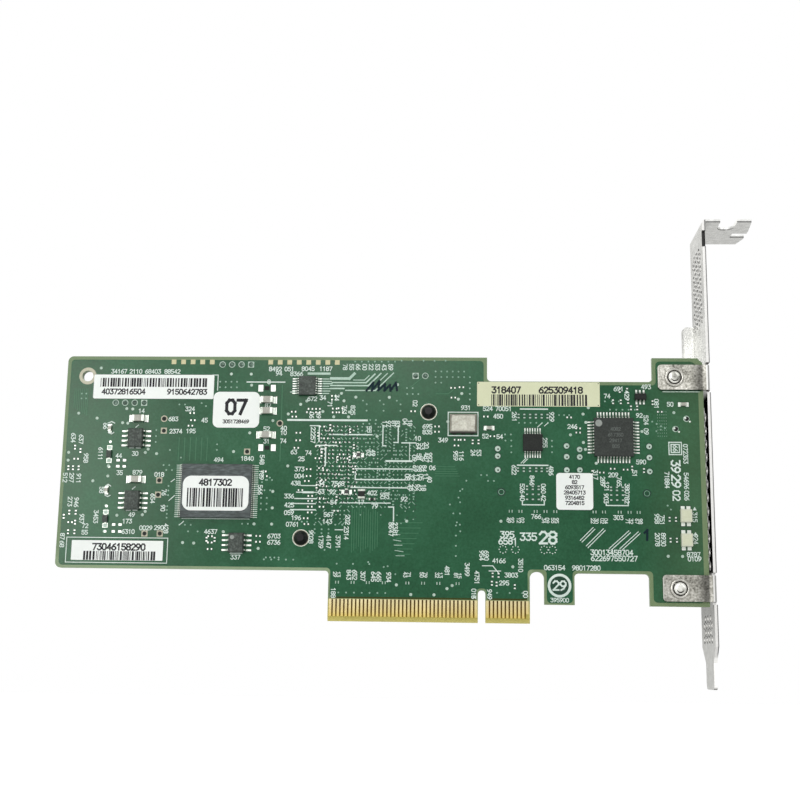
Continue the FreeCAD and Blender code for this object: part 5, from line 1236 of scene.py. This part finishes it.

# A painted shadow crescent on a screw's end: an arc of this radius, between two angles, that narrows to
# nothing
SHADOW_ARC_LEVEL = 0.31
SHADOW_ARC_RADIUS = 0.98
SHADOW_ARC_WIDTH = 0.17
SHADOW_ARC_LEAST = 0.01
SHADOW_ARC_ANGLES = (math.radians(195), math.radians(345))
SHADOW_ARC_STEPS = 14


def make_round_details():
    """Solder in the header holes, and the rolled collars and tips of the bracket screws, with painted shade
    in their grooves and slots and painted shadow crescents on their ends.
    """
    fills = Turned("header_hole_fill", "hole_fill")
    for x, z in HEADER_PINS:
        fills.add(x, z, HALF_BOARD + MASK_HEIGHT, dome(*FILL_DOME), FILL_SIDES)
    blobs = Turned("solder_blobs", "tinned_pad")
    for x, z in SOLDER_BLOBS:
        for shift_x, shift_z, radius, rise, sides in BLOB_DOMES:
            blobs.add(x + shift_x, z + shift_z, HALF_BOARD + PAD_HEIGHT, dome(radius, rise), sides)
    collars = Turned("bracket_collars", "rolled_collar")
    grooves = Turned("bracket_collar_grooves", "thread_groove")
    tips = Turned("bracket_screw_tips", "screw_steel")
    shadow_arcs = Artwork("bracket_screw_shadow_arcs", SOLDER, BOSS_LEVEL + SHADOW_ARC_LEVEL, "thread_groove")
    slots = Artwork("screw_slot_floors", COMPONENT, HALF_BOARD + SCREW_SLOT_LEVEL, "thread_groove")
    for x, z in SCREWS:
        for piece, profile in ((collars, COLLAR), (grooves, GROOVE), (tips, THREAD_END)):
            piece.add(x, z, BOSS_LEVEL, profile, SCREW_SIDES)
        draw_runout(shadow_arcs, x, z)
        slots.rectangle(x, z, *SCREW_SLOT)
    for piece in (fills, blobs, collars, grooves, tips, shadow_arcs, slots):
        piece.build()


def draw_runout(shadow_arcs, x, z):
    """A dark crescent painted on the end of a screw, as painted shadow."""
    first, last = SHADOW_ARC_ANGLES
    for k in range(SHADOW_ARC_STEPS):
        corners = []
        for step, edge in ((k, 1), (k + 1, 1), (k + 1, -1), (k, -1)):
            share = step / SHADOW_ARC_STEPS
            angle = first + (last - first) * share
            radius = SHADOW_ARC_RADIUS + edge * (SHADOW_ARC_WIDTH * math.sin(math.pi * share) + SHADOW_ARC_LEAST)
            corners.append((x + radius * math.cos(angle), z + radius * math.sin(angle)))
        shadow_arcs.polygon(corners)


# Dark rings round the air holes in the bracket, painted shade at their edges: fields of rows as (lowest
# row, count), and the two rows that repeat, as (rise, places across), both in pitches
HOLE_FIELDS = [(80.2, 6), (15.2, 12), (-3.2, 2)]
HOLE_ROWS = [(0.0, (-1.5, -0.5, 0.5, 1.5)), (0.5, (-1, 0, 1))]
HOLE_PITCH = 3.5
HOLE_MIDDLE = 7.5
PLATE_INNER = 58.2
RIM_SIDES = 18

# The outer and inner edge of a rim, as (diameter, height off the plate)
RIM_EDGES = [(2.34, 0.004), (1.92, 0.03)]


def make_hole_rims():
    """A narrow dark ring round each air hole, on the inner face of the plate, painted shade at the hole's
    edge.
    """
    rims = Piece("bracket_hole_shadow_rims", "hole_rim")
    for bottom, rows in HOLE_FIELDS:
        for row in range(rows):
            for rise, steps in HOLE_ROWS:
                for step in steps:
                    add_rim(rims, HOLE_MIDDLE + HOLE_PITCH * step, bottom + HOLE_PITCH * (row + rise))
    rims.build()


def add_rim(rims, y, z):
    start = len(rims.points)
    for diameter, lift in RIM_EDGES:
        for v, w in circle(y, z, diameter, RIM_SIDES):
            rims.points.append((PLATE_INNER - lift, v, w))
    rims.join_rings(start, RIM_SIDES, anticlockwise=False)


# Component side, finished plainly

INDUCTORS = [(-79.0, 47.0), (-79.0, 29.0)]
ROUND_CANS = [(-67.0, 50.5), (-59.0, 50.5), (-79.0, 38.0)]
TANTALUMS = [(6.0, 46.0), (6.0, 40.0), (6.0, 34.0)]
REGULATORS = [(-69.0, 40.0), (-69.0, 26.0)]
CRYSTAL = (24.0, 32.0)
FIDUCIALS = [(-104.4, 58.6), (19.7, 9.4), (53.4, 47.0)]
TOP_VIAS = row_places(-107.0, 66.9, 2.6, 0, 42)
EMPTY_CHIPS = [(17.2, 41.2), (48.4, 41.2)]
NUMBER_BLOCK = (33.9, 41.0)

# Edges of the copper fields
COPPER_EDGES = [
    [(-84.6, 15.2), (-61.2, 15.2), (-61.2, 46.6), (-55.6, 46.6), (-55.6, 57.4), (-84.6, 57.4),
     (-84.6, 15.2)],
    [(11.2, 15.4), (25.4, 15.4), (25.4, 26.8), (45.6, 26.8), (45.6, 55.6), (11.2, 55.6), (11.2, 15.4)],
    [(-52.6, 60.6), (0.0, 60.6)],
]
COPPER_EDGE_WIDTH = 0.3

# Rows of small parts, as (x, z, step along X, step along Z, count, upright, resistor)
SMALL_PART_ROWS = [
    (-36.9, 10.3, 2.0, 0, 16, True, False), (3.4, 10.3, 2.0, 0, 4, True, False),
    (-86.3, 17.2, 0, 2.35, 16, False, True), (-63.6, 22.2, 0, 2.0, 5, False, False),
    (-63.6, 36.2, 0, 2.0, 5, False, False), (-71.8, 31.6, 1.8, 0, 4, True, True),
    (-71.8, 45.4, 1.8, 0, 4, True, True), (-58.4, 21.5, 0, 3.0, 8, False, False),
    (-50.0, 62.4, 2.5, 0, 12, True, False), (-1.2, 27.0, 0, 2.4, 12, False, True),
    (14.0, 52.6, 4.1, 0, 7, False, False), (14.0, 47.6, 4.1, 0, 7, False, True),
    (15.6, 32.0, 16.8, 0, 2, True, False), (28.5, 16.6, 3.2, 0, 5, False, True),
    (28.5, 19.2, 3.2, 0, 5, False, True), (28.5, 21.8, 3.2, 0, 5, False, False),
    (47.0, 21.6, 0, 6.1, 2, True, True), (-77.0, 60.4, 2.2, 0, 5, True, True),
    (-96.0, 60.0, 2.2, 0, 6, True, False), (36.0, 58.6, 2.2, 0, 4, True, True),
]
SMALL_LENGTH = 1.6
SMALL_WIDTH = 0.82
SMALL_CAP = 0.42
CAPACITOR_RISE = 0.62
RESISTOR_RISE = CAPACITOR_RISE * 0.7
CAP_OVERSIZE = 0.04
CAP_OVERRISE = 0.03
CAP_SPLAY = 0.12
CAP_PAD = (0.9, 1.0)
CAP_PAD_SHIFT = 0.2
PART_NUMBER = 0.9
PART_NUMBER_SEED = 12

# Where a part's number stands: above an upright or level part of a row, and beside a part of a column
ABOVE_UPRIGHT = (0, 1.8)
ABOVE_LEVEL = (0, 1.3)
BESIDE = (-2.2, 0)

# Small parts of the solder side, as (x, z, width, height, upright), and the shares of their ends and bodies
SOLDER_SMALL_PARTS = [(-31.1, 32.55, 1.9, 2.5, True), (-28.3, 31.2, 1.7, 0.6, False)]
END_SHARE = 0.24
BODY_SHARE = 0.86
SOLDER_BODY_RISE = 0.5
SOLDER_END_RISE = 0.54
SOLDER_END_SPLAY = 0.1


class Blocks(Piece):
    """Small blocks with splayed feet and chamfered tops on one side."""

    chamfer = 0.07
    splay_share = 0.4

    def add(self, x, z, width, height, rise, splay):
        start = len(self.points)
        for inset, level in ((-splay, 0.0), (0.0, rise * self.splay_share), (0.0, rise - self.chamfer),
                             (self.chamfer, rise)):
            away = self.side * (HALF_BOARD + MASK_HEIGHT + level)
            for u, v in corners_about(x, z, self.side * (width / 2 - inset), height / 2 - inset):
                self.points.append((u, away, v))
        count = len(SQUARE_CORNERS)
        self.join_rings(start, count, anticlockwise=False)
        end = len(self.points)
        self.faces.append(tuple(reversed(range(end - count, end))))


def laid(along, across, upright):
    """A width and height for a size along a part and a size across it."""
    return (across, along) if upright else (along, across)


def fit_small_parts(pads, silk):
    """Two-terminal parts: a body between two end caps with feet of solder, and a number beside each."""
    digits = random.Random(PART_NUMBER_SEED)
    capacitors = Blocks("small_capacitors", "capacitor_body", COMPONENT)
    resistors = Blocks("small_resistors", "moulded_epoxy_black", COMPONENT)
    ends = Blocks("small_terminals", "tinned_terminal", COMPONENT)
    reach = (SMALL_LENGTH - SMALL_CAP) / 2
    body_size = (SMALL_LENGTH - 2 * SMALL_CAP, SMALL_WIDTH)
    end_size = (SMALL_CAP, SMALL_WIDTH + CAP_OVERSIZE)
    for x, z, step_x, step_z, count, upright, resistor in SMALL_PART_ROWS:
        body = resistors if resistor else capacitors
        rise = RESISTOR_RISE if resistor else CAPACITOR_RISE
        along = Vector(laid(1, 0, upright))
        beside = (ABOVE_UPRIGHT if upright else ABOVE_LEVEL) if step_x else BESIDE
        for place in row_places(x, z, step_x, step_z, count):
            middle = Vector(place)
            body.add(*middle, *laid(*body_size, upright), rise, 0.0)
            for side in (-1, 1):
                end = middle + along * reach * side
                ends.add(*end, *laid(*end_size, upright), rise + CAP_OVERRISE, CAP_SPLAY)
                pad = middle + along * (reach + CAP_PAD_SHIFT) * side
                pads.rectangle(*pad, *laid(*CAP_PAD, upright))
            text = str(digits.randint(1, 9)) + str(digits.randint(0, 9))
            silk.number(*(middle + Vector(beside)), text, PART_NUMBER, upright=upright)
    for piece in (capacitors, resistors, ends):
        piece.build()


def fit_solder_parts():
    """The few dark two-terminal parts among the print behind the controller."""
    bodies = Blocks("solder_small_bodies", "moulded_epoxy_black", SOLDER)
    ends = Blocks("solder_small_terminals", "tinned_terminal", SOLDER)
    for x, z, width, height, upright in SOLDER_SMALL_PARTS:
        length = height if upright else width
        end = length * END_SHARE
        bodies.add(x, z, width * BODY_SHARE, height * BODY_SHARE, SOLDER_BODY_RISE, 0.0)
        end_size = laid(end, width if upright else height, upright)
        for side in (-1, 1):
            shift_x, shift_z = laid(side * (length - end) / 2, 0, upright)
            ends.add(x + shift_x, z + shift_z, *end_size, SOLDER_END_RISE, SOLDER_END_SPLAY)
    for piece in (bodies, ends):
        piece.build()


# Layers of the component side, as (piece, height above the laminate, finish)
COMPONENT_LAYERS = {
    "gap": ("component_mask_gaps", TRACE_HEIGHT, "masked_gap"),
    "tin": ("component_pads", PAD_HEIGHT, "tinned_pad"),
    "via": ("component_vias", PAD_HEIGHT, "plugged_via"),
    "silk": ("component_legend", SILK_HEIGHT, "legend_ink"),
    "trace": ("component_traces", TRACE_HEIGHT, "masked_copper"),
    "ring": ("component_hole_rings", PAD_HEIGHT, "hole_ring"),
}
COMPONENT_COPPER = [
    (VIA_PLACES, [("via", "disc", 0, 0, 0.5)]),
    (LARGE_VIAS, [("via", "ring", 0, 0, 1.42, 0.5)]),
    (TOP_VIAS, [("via", "disc", 0, 0, 0.5)]),
    ([CORNER_HOLE], [("ring", "ring", 0, 0, 4.6, 2.95, 40)]),
    (SCREWS, [("ring", "ring", 0, 0, 6.4, 5.2, 40)]),
    (FIDUCIALS, [("gap", "disc", 0, 0, 2.4, 28), ("tin", "disc", 0, 0, 1.1, 20)]),
]

# Outlines and numbers beside the parts, and the pads of two chips that are not fitted
EMPTY_CHIP_PADS = (8, 0.65, 1.4, 0.36, False)
COMPONENT_LEGEND = [
    ([GRID_MIDDLE], [("silk", "frame", 0, 0, 21.6, 21.6, 0.25)]),
    (INDUCTORS, [("silk", "frame", 0, 0, 4.2, 4.2, 0.2), ("silk", "number", -1.0, 5.1, "512", 1.0)]),
    (ROUND_CANS, [("silk", "frame", 0, 0, 3.75, 3.75, 0.2)]),
    (TANTALUMS, [("silk", "frame", 0, 0, 3.8, 2.1, 0.2), ("silk", "number", 5.6, 0, "34", 1.0)]),
    (REGULATORS, [("silk", "frame", 0, 0, 3.4, 3.0, 0.18), ("silk", "disc", -4.0, 2.6, 0.6),
                  ("silk", "number", 0, -3.8, "706", 1.0)]),
    ([CRYSTAL], [("silk", "frame", 0, 0, 6.4, 3.0, 0.2)]),
    (EMPTY_CHIPS, [("tin", "pad_row", -2.7, 0, *EMPTY_CHIP_PADS),
                   ("tin", "pad_row", 2.7, 0, *EMPTY_CHIP_PADS),
                   ("silk", "frame", 0, 0, 1.7, 2.8, 0.18), ("silk", "disc", -1.0, 2.0, 0.5)]),
    ([NUMBER_BLOCK], [("silk", "frame", 0, 0, 4.3, 4.4, 0.3), ("silk", "number", 0, 2.4, "0412", 1.5),
                      ("silk", "number", 0, 0, "7750", 1.5), ("silk", "number", 0, -2.4, "31", 1.5)]),
]
HEADER_FRAME_REACH = 1.45
HEADER_FRAME_WIDTH = 0.2
HEADER_NUMBER_SHIFT = 2.6
HEADER_NUMBER = 1.1


# Widths of the traces, and the edges of the controller where they end
NARROW_TRACE = 0.18
WIDE_TRACE = 0.2
CONTROLLER_LEFT = -51.4
CONTROLLER_RIGHT = -8.8
CONTROLLER_BOTTOM = 17.5

# Pairs from the contacts, with a gap where each has a capacitor, drawn together towards the controller
LANE_BENDS = row_places(-36.9, 13.4, 2.0, 0, 16)
LANE_REACH = 0.22
LANE_FOOT = 6.2
LANE_GAP = (8.8, 12.0)
LANE_CLOSING = 0.86
LANE_SHIFT = -4.2

# Pairs from the receptacles, as (first level, step) at the controller and at the far end
SOCKET_PAIRS = 8
SOCKET_PAIR_REACH = 0.24
SOCKET_PAIR_NEAR = (21.0, 4.4)
SOCKET_PAIR_FAR = (16.5, 4.9)
SOCKET_BENDS = (-54.0, -58.0)
SOCKET_BEND_STEP = 0.4
SOCKET_PAIR_END = -89.4

# The bus to the right of the controller
BUS_LINES = 9
BUS_TOP = 52.6
BUS_STEP = 0.62
BUS_BENDS = (10.6, 12.8)
BUS_BEND_STEP = 0.3
BUS_BEND_DROP = 2.2
BUS_END = 30.0

# The crystal's two lines
CRYSTAL_LINE_REACH = 0.5
CRYSTAL_LINE_LEVEL = 30.6
CRYSTAL_BENDS = (13.0, 14.2)
CRYSTAL_LINE_END = 20.0


def component_side():
    """Mask, copper, pads and legend on the side away from the photograph."""
    make_mask("component_mask_coat", COMPONENT)
    draw_contact_gaps("component_contact_gaps", COMPONENT)
    layers = make_layers(COMPONENT, COMPONENT_LAYERS)
    draw_about(layers, COMPONENT_COPPER)
    for points in COPPER_EDGES:
        layers["gap"].line(points, COPPER_EDGE_WIDTH)
    fit_small_parts(layers["tin"], layers["silk"])
    draw_component_traces(layers["trace"])
    for x, z, count, _ in HEADERS:
        half = HEADER_PITCH * (count - 1) / 2
        reach = HEADER_FRAME_REACH
        layers["silk"].frame(x + half, z, half + reach, reach, HEADER_FRAME_WIDTH)
        layers["silk"].number(x - HEADER_NUMBER_SHIFT, z, "1", HEADER_NUMBER)
    draw_about(layers, COMPONENT_LEGEND)
    for artwork in layers.values():
        artwork.build()


def draw_component_traces(traces):
    """Pairs of lines from the contacts and the receptacles to the controller, and a bus to the right."""
    below, above = LANE_GAP
    for x, bend in LANE_BENDS:
        for shift in (-LANE_REACH, LANE_REACH):
            lane = x + shift
            end = x * LANE_CLOSING + LANE_SHIFT + shift
            traces.line([(lane, LANE_FOOT), (lane, below)], NARROW_TRACE)
            traces.line([(lane, above), (lane, bend), (end, CONTROLLER_BOTTOM)], NARROW_TRACE)
    for i in range(SOCKET_PAIRS):
        near, far = [first + i * step for first, step in (SOCKET_PAIR_NEAR, SOCKET_PAIR_FAR)]
        near_bend, far_bend = [x - i * SOCKET_BEND_STEP for x in SOCKET_BENDS]
        for shift in (-SOCKET_PAIR_REACH, SOCKET_PAIR_REACH):
            traces.line([(CONTROLLER_LEFT, near + shift), (near_bend, near + shift),
                         (far_bend, far + shift), (SOCKET_PAIR_END, far + shift)], WIDE_TRACE)
    for i in range(BUS_LINES):
        level = BUS_TOP - i * BUS_STEP
        near_bend, far_bend = [x - i * BUS_BEND_STEP for x in BUS_BENDS]
        traces.line([(CONTROLLER_RIGHT, level), (near_bend, level), (far_bend, level - BUS_BEND_DROP),
                     (far_bend, BUS_END + i)], NARROW_TRACE)
    near_bend, far_bend = CRYSTAL_BENDS
    for shift in (-CRYSTAL_LINE_REACH, CRYSTAL_LINE_REACH):
        low = CRYSTAL_LINE_LEVEL + shift
        high = CRYSTAL[1] + shift
        traces.line([(CONTROLLER_RIGHT, low), (near_bend, low), (far_bend, high), (CRYSTAL_LINE_END, high)],
                    WIDE_TRACE)


# Print and moulded marks on labels and parts

LABEL_NOTES = ("4170", "82", "6093517", "28405713", "9316482", "7204815")
LOGIC_ROWS = ("4082", "617350", "29417", "805")
LABEL_PRINT = [
    ("bars", -101.2, 60.6, -72.4, 63.0, 3), ("number", -94.9, 59.3, "40372816504", 1.3),
    ("number", -77.9, 59.3, "9150642783", 1.3), ("bars", -103.0, 14.8, -84.2, 17.1, 5),
    ("number", -93.8, 18.2, "73046158290", 1.55), ("bars", 2.4, 56.0, 27.0, 59.0, 8),
    ("number", 6.3, 60.2, "318407", 1.55), ("number", 20.5, 60.2, "625309418", 1.55),
    ("number", -64.6, 55.3, "07", 3.6), ("number", -64.6, 51.4, "3051728469", 0.85),
    *[("number", 23.8, 37.4 - i * 1.35, text, 0.85) for i, text in enumerate(LABEL_NOTES)],
    *[("disc", x, z, *DOT) for x, z in crossings(([-0.9, 30.2], [56.2, 62.0]))],
]
FLASH_LABEL_PRINT = [("bars", -76.4, 28.7, -61.8, 33.6, 9), ("number", -69.1, 35.1, "4817302", 1.5)]
LABEL_ORIGIN = [(0, 0)]

# As (piece, side, part, finish, stroke, places, shapes about each place)
PART_MARKS = [
    ("label_print", SOLDER, "label_long", "label_ink", BOLD_STROKE, LABEL_ORIGIN, LABEL_PRINT),
    ("flash_label_print", SOLDER, "label_flash", "label_ink", BOLD_STROKE, LABEL_ORIGIN, FLASH_LABEL_PRINT),
    ("logic_pin_dot", SOLDER, "logic_chip", "pin_one_dot", DIGIT_STROKE, [(30.1, 51.35)],
     [("disc", 0, 0, 1.8, 28)]),
    ("memory_pin_dot", SOLDER, "memory_chip", "pin_one_dot", DIGIT_STROKE, [(-64.1, 20.9)],
     [("disc", 0, 0, 1.1, 24)]),
    ("logic_marks", SOLDER, "logic_chip", "moulded_mark", DIGIT_STROKE, [(34.4, 49.8)],
     [("number", 0, -1.5 * i, text, 0.8) for i, text in enumerate(LOGIC_ROWS)]),
    ("can_marks", COMPONENT, "polymer_cans", "label_ink", BOLD_STROKE, ROUND_CANS,
     [("segment", 0, 0, 5.2, 1.0, 36), ("number", -0.7, 0.9, "47", 1.1),
      ("number", -0.7, -0.9, "16", 1.1)]),
    ("inductor_marks", COMPONENT, "inductors", "pin_one_dot", BOLD_STROKE, INDUCTORS,
     [("number", 0, 0, "150", 1.9)]),
    ("tantalum_marks", COMPONENT, "tantalum_bodies", "thread_groove", BOLD_STROKE, TANTALUMS,
     [("rectangle", 1.4, 0, 0.6, 3.0), ("number", -0.5, 0, "107", 0.9)]),
    ("regulator_marks", COMPONENT, "regulator_chips", "moulded_mark", DIGIT_STROKE, REGULATORS,
     [("number", 0, 0.7, "4096", 0.8), ("number", 0, -0.7, "21", 0.8), ("disc", -1.3, 1.9, 0.55)]),
    ("crystal_marks", COMPONENT, "crystal_can", "moulded_mark", DIGIT_STROKE, [CRYSTAL],
     [("number", 0, 0, "25000", 1.5)]),
]

# Seams of the receptacle shells: one across each shell, and the outlines of two tongues
SOCKET_MIDDLES = (24.1, 44.7)
SEAM_X = -92.4
SEAM_REACH = 9.9
SEAM_WIDTH = 0.16
TONGUE_SPAN = (-101.0, -95.4)
TONGUE_MIDDLE = 6.6
TONGUE_HALF = 1.1
TONGUE_LINE = 0.2


def marks_on(name, side, node, finish, stroke=DIGIT_STROKE):
    """A layer of artwork just off the outer face of a part."""
    low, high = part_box(node)
    face = -low[1] if side == SOLDER else high[1]
    return Artwork(name, side, face / MM + PRINT_GAP, finish, stroke)


def make_marks():
    """Print on the labels, pin-one dots, and marks on the parts."""
    for *layer, places, shapes in PART_MARKS:
        marks = marks_on(*layer)
        draw_about({"marks": marks}, [(places, [("marks", *shape) for shape in shapes])])
        marks.build()
    seams = marks_on("socket_seams", COMPONENT, "socket_shell_upper", "thread_groove")
    root, tip = TONGUE_SPAN
    for z in SOCKET_MIDDLES:
        seams.line([(SEAM_X, z - SEAM_REACH), (SEAM_X, z + SEAM_REACH)], SEAM_WIDTH)
        for level in (z - TONGUE_MIDDLE, z + TONGUE_MIDDLE):
            low = level - TONGUE_HALF
            high = level + TONGUE_HALF
            seams.line([(root, low), (tip, low), (tip, high), (root, high)], TONGUE_LINE)
    seams.build()


# Coil springs on the push pins

WIRE_RADIUS = 0.32
COIL_RADIUS = 2.35
COIL_TURNS = 5
TURN_STEPS = 24


def make_springs():
    """A wire coil round each push pin, closed up at both ends."""
    low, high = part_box("push_pin_springs")
    bottom = low[1] / MM + WIRE_RADIUS
    top = high[1] / MM - WIRE_RADIUS
    curve = bpy.data.curves.new("push_pin_coils", "CURVE")
    curve.dimensions = "3D"
    curve.bevel_depth = WIRE_RADIUS * MM
    curve.bevel_resolution = 2
    steps = COIL_TURNS * TURN_STEPS
    for x, z in PUSH_PINS:
        spline = curve.splines.new("POLY")
        spline.points.add(steps)
        for i in range(steps + 1):
            angle = 2 * math.pi * i / TURN_STEPS
            share = i / steps
            rise = (top - bottom) * share * share * (3 - 2 * share)
            place = (x + COIL_RADIUS * math.cos(angle), bottom + rise, z + COIL_RADIUS * math.sin(angle))
            spline.points[i].co = (*[value * MM for value in place], 1)
    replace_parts(add_piece("push_pin_coils", curve, "spring_wire"), "push_pin_springs")


# Finishes of the solid pieces, by their own name or by part of it

NODE_FINISHES = {
    "circuit_board": "bare_laminate",
    "contacts_solder_side": "contact_gold",
    "contacts_component_side": "contact_gold",
    "bracket": "bracket_sheet",
    "bracket_screws": "screw_steel",
    "thermal_pad": "thermal_pad",
    "heatsink": "heatsink_finish",
    "push_pins": "pin_nylon",
    "push_pin_springs": "spring_wire",
    "header_housings": "socket_moulding",
    "header_pins": "contact_gold",
    "flash_chip": "moulded_epoxy_grey",
    "logic_chip": "moulded_epoxy_dark",
    "buffer_chip_right": "moulded_epoxy_black",
    "monitor_chip": "moulded_epoxy_black",
    "oscillator_base": "ceramic_base",
    "oscillator_can": "oscillator_lid",
    "light_bodies": "light_body",
    "light_lenses": "light_lens",
    "capacitor_bodies": "capacitor_body",
    "decoupling_bodies": "capacitor_body",
    "label_cream": "label_paper_cream",
    "inductors": "pressed_ferrite",
    "polymer_bases": "socket_moulding",
    "polymer_cans": "drawn_can",
    "tantalum_bodies": "tantalum_moulding",
    "crystal_can": "oscillator_lid",
}
FINISHES_BY_KIND = {
    "label_": "label_paper",
    "socket_shell": "socket_shell",
    "socket_housing": "socket_moulding",
    "socket_contacts": "contact_gold",
    "_leads": "tinned_lead",
    "_terminals": "tinned_terminal",
    "_tabs": "tinned_terminal",
}
PLAIN_CHIP = "moulded_epoxy"


def finish_of(node):
    """The finish that a solid piece takes."""
    if node in NODE_FINISHES:
        return NODE_FINISHES[node]
    for part_of_name, finish in FINISHES_BY_KIND.items():
        if part_of_name in node:
            return finish
    return PLAIN_CHIP


def dress_nodes():
    for node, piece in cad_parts.items():
        piece.data.materials.clear()
        piece.data.materials.append(SHADINGS[finish_of(node)].owner)


# Stage, in metres

FLOOR_LEVEL = -0.12
FLOOR_REACH = 4.0
FLOOR_GREY = 0.86
FLOOR_ROUGHNESS = 0.9
FLOOR_LIFT = (0.42, 0.68)
FLOOR_LIFT_REACH = (0.2, 1.0)
WORLD_LIGHT = 0.38

# Soft lights, as (place, aim, size, power)
CARD_MIDDLE = (-0.02, 0.0, 0.04)
LIGHTS = {
    "key_light": ((-0.30, -0.50, 0.12), (-0.11, 0.0, 0.04), 0.18, 0.66),
    "upper_light": ((-0.07, -0.50, 0.235), CARD_MIDDLE, 0.15, 0.40),
    "modelling_light": ((-0.42, -0.34, 0.62), CARD_MIDDLE, 0.14, 1.25),
    "fill_light": ((0.55, -0.60, 0.45), CARD_MIDDLE, 0.6, 1.0),
    "back_light": ((-0.30, 0.75, 0.60), CARD_MIDDLE, 0.7, 2.2),
}

# The photograph's viewpoint, fitted to the board, the contacts and the bracket; the place is in millimetres
CAMERA_PLACE = (-4.644, -335.616, -10.724)
CAMERA_RIGHT = (0.998777, 0.047230, 0.014645)
CAMERA_UP = (-0.004929, -0.199608, 0.979868)
CAMERA_LENS = 58.70
CAMERA_SENSOR = 36.0
CAMERA_NEAR = 0.01


def seen_directly(nodes):
    """One for camera, glossy and transmission rays, and none for the rays that light the object."""
    rays = [nodes.add("LightPath", f"Is {kind} Ray", {}) for kind in ("Camera", "Glossy", "Transmission")]
    return nodes.math("MAXIMUM", nodes.math("MAXIMUM", rays[0], rays[1]), rays[2])


def make_world():
    """White where it is seen, and a soft grey where it lights."""
    world = bpy.data.worlds.new("studio")
    bpy.context.scene.world = world
    nodes = Shading(world, "Background")
    strength = nodes.span(seen_directly(nodes), 0, 1, WORLD_LIGHT, 1.0)
    nodes.feed(nodes.shader, {"Color": colour(1.0), "Strength": strength})


def make_floor():
    """A pale floor that is lifted towards white where it is seen, more so far off, and keeps the shadow."""
    mesh = bpy.data.meshes.new("floor")
    points = [(x, y, FLOOR_LEVEL) for x, y in corners_about(0, 0, FLOOR_REACH, FLOOR_REACH)]
    mesh.from_pydata(points, [], [(0, 1, 2, 3)])
    nodes = Shading(bpy.data.materials.new("pale_floor"))
    distance = nodes.add("VectorMath", "Value", {0: nodes.places()}, operation="LENGTH")
    rising = nodes.span(distance, *FLOOR_LIFT_REACH, *FLOOR_LIFT)
    nodes.feed(nodes.shader, {
        "Base Color": colour(FLOOR_GREY),
        "Roughness": FLOOR_ROUGHNESS,
        "Emission Color": colour(1.0),
        "Emission Strength": nodes.math("MULTIPLY", seen_directly(nodes), rising),
    })
    mesh.materials.append(nodes.owner)
    floor = add_object("floor", mesh)


def make_lights():
    """Square soft lights, each aimed at a point."""
    for name, (place, aim, size, power) in LIGHTS.items():
        lamp = bpy.data.lights.new(name, "AREA")
        lamp.shape = "SQUARE"
        lamp.size = size
        lamp.energy = power
        light = add_object(name, lamp)
        light.location = place
        light.rotation_euler = (Vector(aim) - Vector(place)).to_track_quat("-Z", "Y").to_euler()


def make_camera():
    lens = bpy.data.cameras.new("camera")
    lens.sensor_fit = "HORIZONTAL"
    lens.sensor_width = CAMERA_SENSOR
    lens.lens = CAMERA_LENS
    lens.clip_start = CAMERA_NEAR
    camera = add_object("camera", lens)
    right = Vector(CAMERA_RIGHT)
    up = Vector(CAMERA_UP)
    turn = Matrix((right, up, right.cross(up))).transposed().to_4x4()
    camera.matrix_world = Matrix.Translation(Vector(CAMERA_PLACE) * MM) @ turn
    bpy.context.scene.camera = camera


dress_nodes()
solder_side()
component_side()
fit_solder_parts()
make_marks()
make_round_details()
make_hole_rims()
make_springs()
make_world()
make_floor()
make_lights()
make_camera()
bpy.context.scene.view_settings.view_transform = "Standard"
